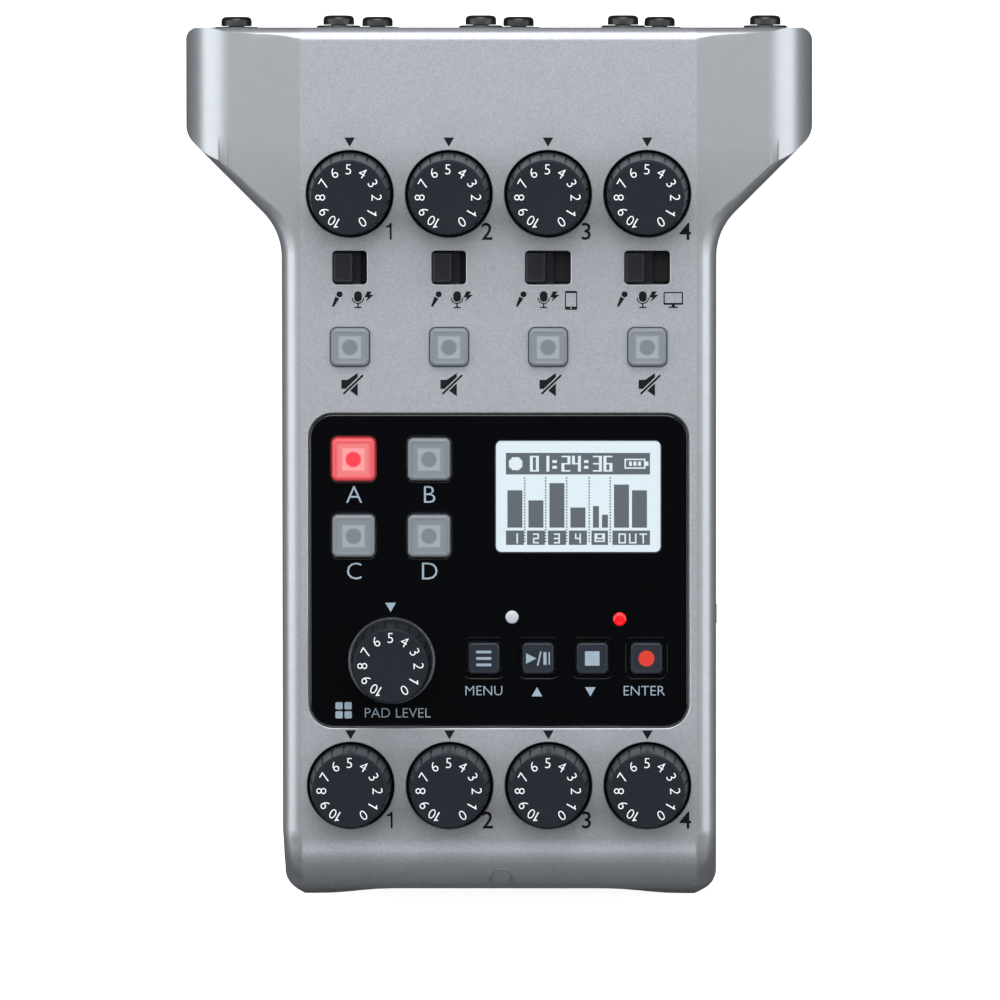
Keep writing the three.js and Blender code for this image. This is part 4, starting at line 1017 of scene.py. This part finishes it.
deckInk, half = [], ink["thickness"] / 2
icons = {"mic": pattern(micIcon()), "studio": pattern(studioIcon()), "bolt": pattern(boltIcon()),
         "speaker": pattern(speakerIcon())}
for number, x in enumerate(deck["channelXs"]):
    for row in ("gain", "volume"):
        spot = at(x + ink["digitX"], ink[row + "DigitY"], ink["deckLow"] + half)
        deckInk += [moved(printed([pointer()]), at(x, ink[row + "PointerY"])),
                    figure(str(number + 1), ink["digit"], spot, ink["digitStroke"])]
    spots = {kind: (x + ink[kind + "Xs"][number], ink["iconY"] + rise)
             for kind, rise in (("mic", 0), ("studio", 0), ("bolt", 0.55))}
    spots["speaker"] = (x + ink["speaker"][0], ink["speaker"][1])
    deckInk += [copied(icons[kind], "ink", at(*spot)) for kind, spot in spots.items()]
for makeIcon, channel, aside in ((phoneIcon, 2, ink["phoneX"]), (screenIcon, 3, ink["screenX"])):
    deckInk.append(moved(makeIcon(), at(deck["channelXs"][channel] + aside, ink["iconY"] - 0.1)))
finished(joined(deckInk, "deckPrinting"), "darkInk", "recorder", deckFrame, weighted=False)


def word(text, x, y, height=ink["keyWord"], stroke=ink["wordStroke"], name="word"):
    return lettered(name, text, height, at(x, y, ink["panelLow"] + half), stroke, ink["thickness"])


squares = [rectangle(1.3, 1.3, 0.25, x, y) for x in (-0.81, 0.81) for y in (-0.81, 0.81)]
marks = [([pointer()], ink["padPointer"]), (squares, ink["gridIcon"])]
marks += [([pointer(up)], (x, ink["keyWordY"] - 0.2)) for x, up in zip(ink["arrowXs"], (True, False))]
panelInk = [moved(printed(shapes, low=ink["panelLow"]), at(*spot)) for shapes, spot in marks]
panelInk += [word(letter.title(), x + 0.1, y - ink["padLetterDrop"], ink["padLetter"], ink["letterStroke"])
             for letter, (x, y) in padPlaces.items()]
panelInk += [word(text, x, ink["keyWordY"]) for text, x in (("MENU", button["keyXs"][0]),
                                                            ("ENTER", button["keyXs"][3] - 0.4))]
finished(joined(panelInk, "panelPrinting"), "paleInk", "recorder", deckFrame, weighted=False)
finished(word("PAD LEVEL", *ink["padWord"], name="padWord"), "paleInk", "recorder", deckFrame, weighted=False)

keySymbols = {
    "menu": [rectangle(2.75, 0.49, 0.2, 0, y) for y in (-1.16, 0, 1.16)],
    "play": [shape((-2.45, -1.12), (-0.29, 0), (-2.45, 1.12)),
             shape((-0.22, -1.3), (0.08, -1.3), (0.66, 1.25), (0.36, 1.25)),
             rectangle(0.56, 2.24, 0, 1.25, 0), rectangle(0.56, 2.24, 0, 2.17, 0)],
    "stop": [rectangle(2.6, 2.6, 0.08)],
    "record": [disc(0, 0, 1.43)],
}
for x, (name, shapes) in zip(button["keyXs"], keySymbols.items()):
    finished(printed(shapes, low=ink["keyLow"]), "redInk" if name == "record" else "paleInk", name + "_key",
             deckFrame @ at(x, button["keyY"]), weighted=False).name = name + "KeySymbol"

# A headphone mark raised on the roll above the front jacks
mark = {"x": 0.35, "y": -74.75, "z": -2.7, "tilt": 35, "radius": 1.95, "stroke": 0.3, "low": -0.35, "high": 0.1}
band = ringPart(mark["radius"], mark["stroke"], -10, 190, 20, -0.35)
cups = [rectangle(0.85, 1.35, 0.35, x * (mark["radius"] - 0.1), -0.8) for x in (-1, 1)]
relief = [prism("mark", outline, mark["low"], mark["high"], ink["step"]) for outline in [band] + cups]
finished(joined(relief, "phoneMark"), "markSilver", "recorder",
         deckFrame @ at(mark["x"], mark["y"], mark["z"]) @ turned(mark["tilt"], "X"), weighted=False)
print("printing made")

# Microphone jacks, their latches and screws
def crossed(piece, makeSlot):  # cuts a slot both ways, as a screw's cross
    for turn in (0, 90):
        carved(piece, moved(makeSlot(), turned(turn, "Z")))
    return pattern(piece)


def makeJack():
    rise, radius, ear, bore, insert = (jack[key] for key in ("proud", "radius", "earRadius", "bore", "insert"))
    boss = revolved("ear", [(0, -0.6), (ear, -0.6), (ear, rise - 0.25), (ear - 0.08, rise - 0.08),
                            (ear - 0.25, rise), (0, rise)], 48)
    whole = jackOutline(0, -jack["seat"], -0.3)
    for grow, low, high in ((-0.09, -0.31, -0.12), (-0.28, -0.13, 0)):
        carved(whole, jackOutline(grow, low, high), "UNION")
    carved(whole, drum("barrel", radius, -jack["depth"], -0.5, 72), "UNION")
    housing = rectangle(jack["housingWidth"], jack["housingTop"], 0.4, 0, jack["housingTop"] / 2)
    carved(whole, prism("housing", housing, -15, 0), "UNION")
    for spot in jackEars():
        carved(whole, copied(boss, "ear", at(*spot)), "UNION")
    bpy.data.objects.remove(boss)
    carved(whole, revolved("bore", [(0, -17.6), (bore, -17.6), (bore, -0.8), (bore + 0.12, -0.35),
                                    (bore + 0.45, 0.01), (bore + 0.45, 3), (0, 3)], 72))
    carved(whole, slab("latchRoom", (-2.85, 4.8, -10.8), (2.85, 11.85, 3)))
    for spot in jackEars():
        carved(whole, moved(drum("hole", 1.65, -21, 3, 24), at(*spot)))
    core = revolved("insert", [(0, -18.8), (insert, -18.8), (insert, -1.35), (insert - 0.1, -1.1),
                               (insert - 0.35, -1), (0, -1)], 72)
    for angle in jack["pinAngles"]:
        pinHole = roundHole(jack["pinHole"], 0.3, -9, 3)
        carved(core, moved(pinHole, at(*around(jack["pinCircle"], angle), -1)))
    carved(core, moved(drum("notch", 0.9, -8, 3, 24), at(0, -insert)))
    return pattern(joined([whole, core], "jack"))


jackShape = makeJack()
hole = jack["pinHole"]
sleeve = pattern(revolved("sleeve", [(0.85, -8), (hole - 0.05, -8), (hole - 0.05, -2.2), (hole - 0.2, -2.0),
                                     (0.85, -2.2)], 24))
sleeves = pattern(joined([copied(sleeve, "sleeve", at(*around(jack["pinCircle"], angle)))
                          for angle in jack["pinAngles"]], "sleeves"))
latchSpot = at(0, jack["latchY"])
latchShape = pattern(capped(jack["latchWidth"], jack["latchThickness"], 0.3, -jack["latchLength"], -0.2, 0.2))
moved(latchShape, latchSpot)
for x in (-1.6, -0.8, 0, 0.8, 1.6):
    ridge = slab("ridge", (-0.16, -0.55, -0.5), (0.16, 0.55, 0.05))
    carved(latchShape, moved(ridge, latchSpot @ at(x, 0)), "UNION")
head = jack["screwHead"]
screwShape = crossed(
    revolved("screw", [(0, -7), (1.4, -7), (1.4, 0.5), (head, 0.52), (head, 1.45), (2.68, 1.76), (2.45, 2.02),
                       (2.1, 2.16), (1.6, 2.2), (0, 2.2)], 40),
    lambda: tower("recess", [(rectangle(2.2, 0.5), 1.3), (rectangle(3.2, 0.8), 2.3)]))
for number, x in enumerate(jack["xs"], 1):
    spot, node, latch = rearFrame @ at(-x, 0), f"mic_jack_{number}", f"mic_latch_{number}"
    placed(jackShape, label(node), "jackPlastic", "recorder", spot, 35, node, "jack_plastic")
    placed(sleeves, f"micContacts{number}", "goldPlate", "recorder", spot, 40)
    placed(latchShape, label(latch), "blackSteel", latch, spot, 40, latch, "latch_plastic")
    for screw, ear in enumerate(reversed(jackEars()), 2 * number - 1):
        placed(screwShape, f"jackScrew{screw}", "blackSteel", "recorder", spot @ at(*ear, 0, 37 * screw), 35,
               f"mic_jack_screw_{screw}", "black_steel")
print("rear jacks made")


# Ports, doors and switch in the sides and the front
def onSide(way, y, z):
    return deckFrame @ turnedOut[way] @ at(way * y, z)


usbShell = pattern(prism("usb", rectangle(8.96, 3.26, 1.33), -7.9, -0.47))
inner, outer = rectangle(8.14, 2.44, 0.92), rectangle(8.5, 2.8, 1.1)
carved(usbShell, tower("mouth", [(inner, -7.5), (inner, -0.75), (outer, -0.46), (outer, 0)]))
tongue = pattern(capped(6.66, 0.76, 0.15, -7.6, -3.25, 0.12))
for name, way in (("left", -1), ("right", 1)):
    spot = onSide(way, side[name + "UsbY"], side["usbZ"])
    placed(usbShell, name + "Port", "brightSteel", "recorder", spot, 35)
    placed(tongue, name + "PortTongue", "jackPlastic", "recorder", spot, 35)
nose = pattern(revolved("nose", [(1.76, -9), (2.93, -9), (2.93, -0.7), (2.78, -0.47), (2.45, -0.43),
                                 (2.2, -0.47), (1.76, -0.9)], 48))
rings = {"phoneJackRing": onSide(-1, side["phoneY"], side["phoneZ"])}
front = -case["depth"] / 2 + case["hollowDepth"] + side["frontSunk"]
for number, x in enumerate(deck["channelXs"], 1):
    rings[f"headphoneRing{number}"] = plainFrame @ at(x, front, side["frontZ"]) @ turned(90, "X")
for name, spot in rings.items():
    placed(nose, name, "brightSteel", "recorder", spot, 35)

flap = {"pinRadius": 0.33, "pinReach": 15, "pinDrop": 0.75, "grip": 5.5, "gripY": 4.6}
thick, tall, reach = side["doorThickness"], side["doorHeight"] / 2, side["doorLength"] / 2
cardFlap = prism("cardFlap", [(0, -tall, 0.7), (0, tall, 0.25), (-thick, tall, 0.2), (-thick, -tall, 0.7)],
                 -reach, reach, 10)
outwards(moved(cardFlap, Matrix(((0, 0, 1, 0), (0, 1, 0, 0), (1, 0, 0, 0), (0, 0, 0, 1)))))
grip = revolved("grip", [(0, -0.45), (flap["grip"] - 1.2, -0.45), (flap["grip"], 0.3), (0, 0.3)], 48)
carved(cardFlap, moved(grip, at(0, flap["gripY"])))
pin = drum("pin", flap["pinRadius"], -flap["pinReach"], flap["pinReach"], 20)
carved(cardFlap, moved(pin, at(0, flap["pinDrop"] - tall, -thick / 2) @ turned(90, "Y")), "UNION")
spot = onSide(1, side["cardY"], side["cardZ"])
finished(cardFlap, "silverPaint", "card_door", spot, 35, "card_door", "silver_shell")

powerKnob = capped(side["powerLength"], side["powerHeight"], 0.3, -3, 0.12, 0.15)
for x in (-0.9, -0.3, 0.3, 0.9):
    carved(powerKnob, slab("groove", (x - 0.14, -2, -0.1), (x + 0.14, 2, 2)))
carved(powerKnob, prism("plate", rectangle(9.1, 4.8, 0.3), -3.6, -2.5), "UNION")
finished(named(powerKnob, "powerKnob"), "leverPlastic", "power_switch",
         onSide(1, side["powerY"] - side["powerTravel"] / 2, side["powerZ"]), 35, "power_switch", "key_plastic")
print("side fittings made")

# Underside: feet and the screws that hold the case together
under = {
    "footRadius": 5, "footTop": 1.65, "floor": 1.2, "cupRadius": 2.9, "cupHeight": 0.45, "headRadius": 1.9,
    "feet": ((29.8, -68.5), (-29.8, -68.5), (47, 68.5), (-47, 68.5)),
    "screws": ((-32.5, -50), (32.5, -50), (-33.5, 8), (33.5, 8), (-44, 55), (44, 55)),
}
foot, top = under["footRadius"], under["footTop"]
footShape = pattern(revolved("foot", [(0, 0.12), (3.9, 0.12), (4.1, 0), (4.55, 0), (4.85, 0.15), (foot, 0.5),
                                      (foot, top), (0, top)], 56))
for number, (x, y) in enumerate(under["feet"], 1):
    placed(footShape, f"rubberFoot{number}", "footRubber", "recorder", plainFrame @ at(x, y), 35,
           f"foot_{number}", "foot_rubber")
base, cup, head = under["floor"], under["cupRadius"], under["headRadius"]
lip = base - under["cupHeight"]
cupShape = pattern(revolved("cup", [(2.1, base + 0.4), (2.1, lip + 0.1), (2.25, lip), (2.65, lip),
                                    (cup, lip + 0.2), (cup, base + 0.4)], 40))
headShape = crossed(
    revolved("head", [(0, base + 0.3), (head, base + 0.3), (head, lip + 0.35), (head - 0.3, lip + 0.18),
                      (0, lip + 0.1)], 40),
    lambda: prism("recess", rectangle(2.4, 0.55), lip - 0.5, lip + 0.6))
for number, (x, y) in enumerate(under["screws"], 1):
    spot = plainFrame @ at(x, y, 0, 23 * number)
    placed(cupShape, f"screwCup{number}", "lowerPlastic", "recorder", spot, 35)
    placed(headShape, f"caseScrew{number}", "blackSteel", "recorder", spot, 35)
print("underside made")

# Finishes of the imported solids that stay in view
shown = {
    "control_panel": "panelGloss", "display_module": "jackPlastic", "main_board": "circuitBoard",
    "headphone_board": "circuitBoard", "memory_card": "cardPlastic", "power_switch": "leverPlastic",
    "battery": "cellWrap", "battery_bridge": "brightSteel", "negative_contact": "brightSteel",
    "positive_contact": "brightSteel", "foot": "footRubber", "mic_jack": "jackPlastic",
    "mic_jack_screw": "blackSteel", "mic_latch": "jackPlastic",
}
for name, node in frame["nodes"].items():
    look = shown.get(name, shown.get(name.rstrip("_0123456789"), "lowerPlastic"))
    for holder in node.material_slots:
        holder.material = bpy.data.materials[look]
print("packed solids finished")

# Stage, light and camera
stage = {
    "floorSize": 3, "floorTone": (0.90, 0.90, 0.90), "floorGlow": 0.8, "worldTone": 0.05,
    "eye": (0.045, 0.045, 3.0334), "aim": (0.00023, -0.008, 0.0334), "frameWidth": 0.17865, "distance": 3.0,
    "sensor": 36,
}
floor = started("floor", bpy.ops.mesh.primitive_plane_add, size=stage["floorSize"])
glowFinish("floorPaper", stage["floorTone"], stage["floorGlow"], 0.9, 0.01)
floor.data.materials.append(bpy.data.materials["floorPaper"])
floor.visible_glossy = floor.visible_diffuse = False  # it throws no light back on the case

white, blueish, cool = (1, 1, 1), (0.96, 0.98, 1), (0.95, 0.97, 1)
lights = {  # place, aim, watts, size, colour
    "rear": ((0, 0.62, 1.6), (0, 0.2, 0), 13.5, (1.7, 0.85), white),
    "low": ((0, 1.5, 1.25), (0, 0, 0), 26, (1.5, 0.6), white),
    "front": ((0, -1.05, 1.5), (0, -0.05, 0), 2.4, (0.9, 0.5), cool),
    "leftLow": ((-1.25, -0.05, 0.3), (0, 0, 0), 1.9, (1.2, 0.3), blueish),
    "rightLow": ((1.25, -0.05, 0.3), (0, 0, 0), 1.3, (1.2, 0.3), blueish),
    "left": ((-1.15, 0.1, 0.85), (0, 0, 0), 8.8, (0.8, 1.2), blueish),
    "right": ((1.15, 0.1, 0.85), (0, 0, 0), 8.5, (0.8, 1.2), blueish),
}


def hung(name, data):
    holder = bpy.data.objects.new(name, data)
    bpy.context.scene.collection.objects.link(holder)
    return holder


for name, (spot, aim, watts, size, tone) in lights.items():
    lamp = bpy.data.lights.new(name, "AREA")
    lamp.shape, lamp.energy, lamp.color = "RECTANGLE", watts, tone
    lamp.size, lamp.size_y = size
    holder = hung(name, lamp)
    holder.location = spot
    holder.rotation_euler = (Vector(aim) - Vector(spot)).to_track_quat("-Z", "Y").to_euler()

world.use_nodes = True
world.node_tree.nodes["Background"].inputs["Color"].default_value = (*[stage["worldTone"]] * 3, 1)

camera = hung("camera", bpy.data.cameras.new("camera"))
back = (Vector(stage["eye"]) - Vector(stage["aim"])).normalized()
across = Vector((0, 1, 0)).cross(back).normalized()  # the photo's top edge stays level
axes = Matrix((across, back.cross(across), back)).transposed()
camera.matrix_world = Matrix.Translation(stage["eye"]) @ axes.to_4x4()
camera.data.sensor_width = stage["sensor"]
camera.data.lens = stage["sensor"] * stage["distance"] / stage["frameWidth"]
bpy.context.scene.camera = camera

for piece in patterns:
    bpy.data.objects.remove(piece)
print("scene finished")
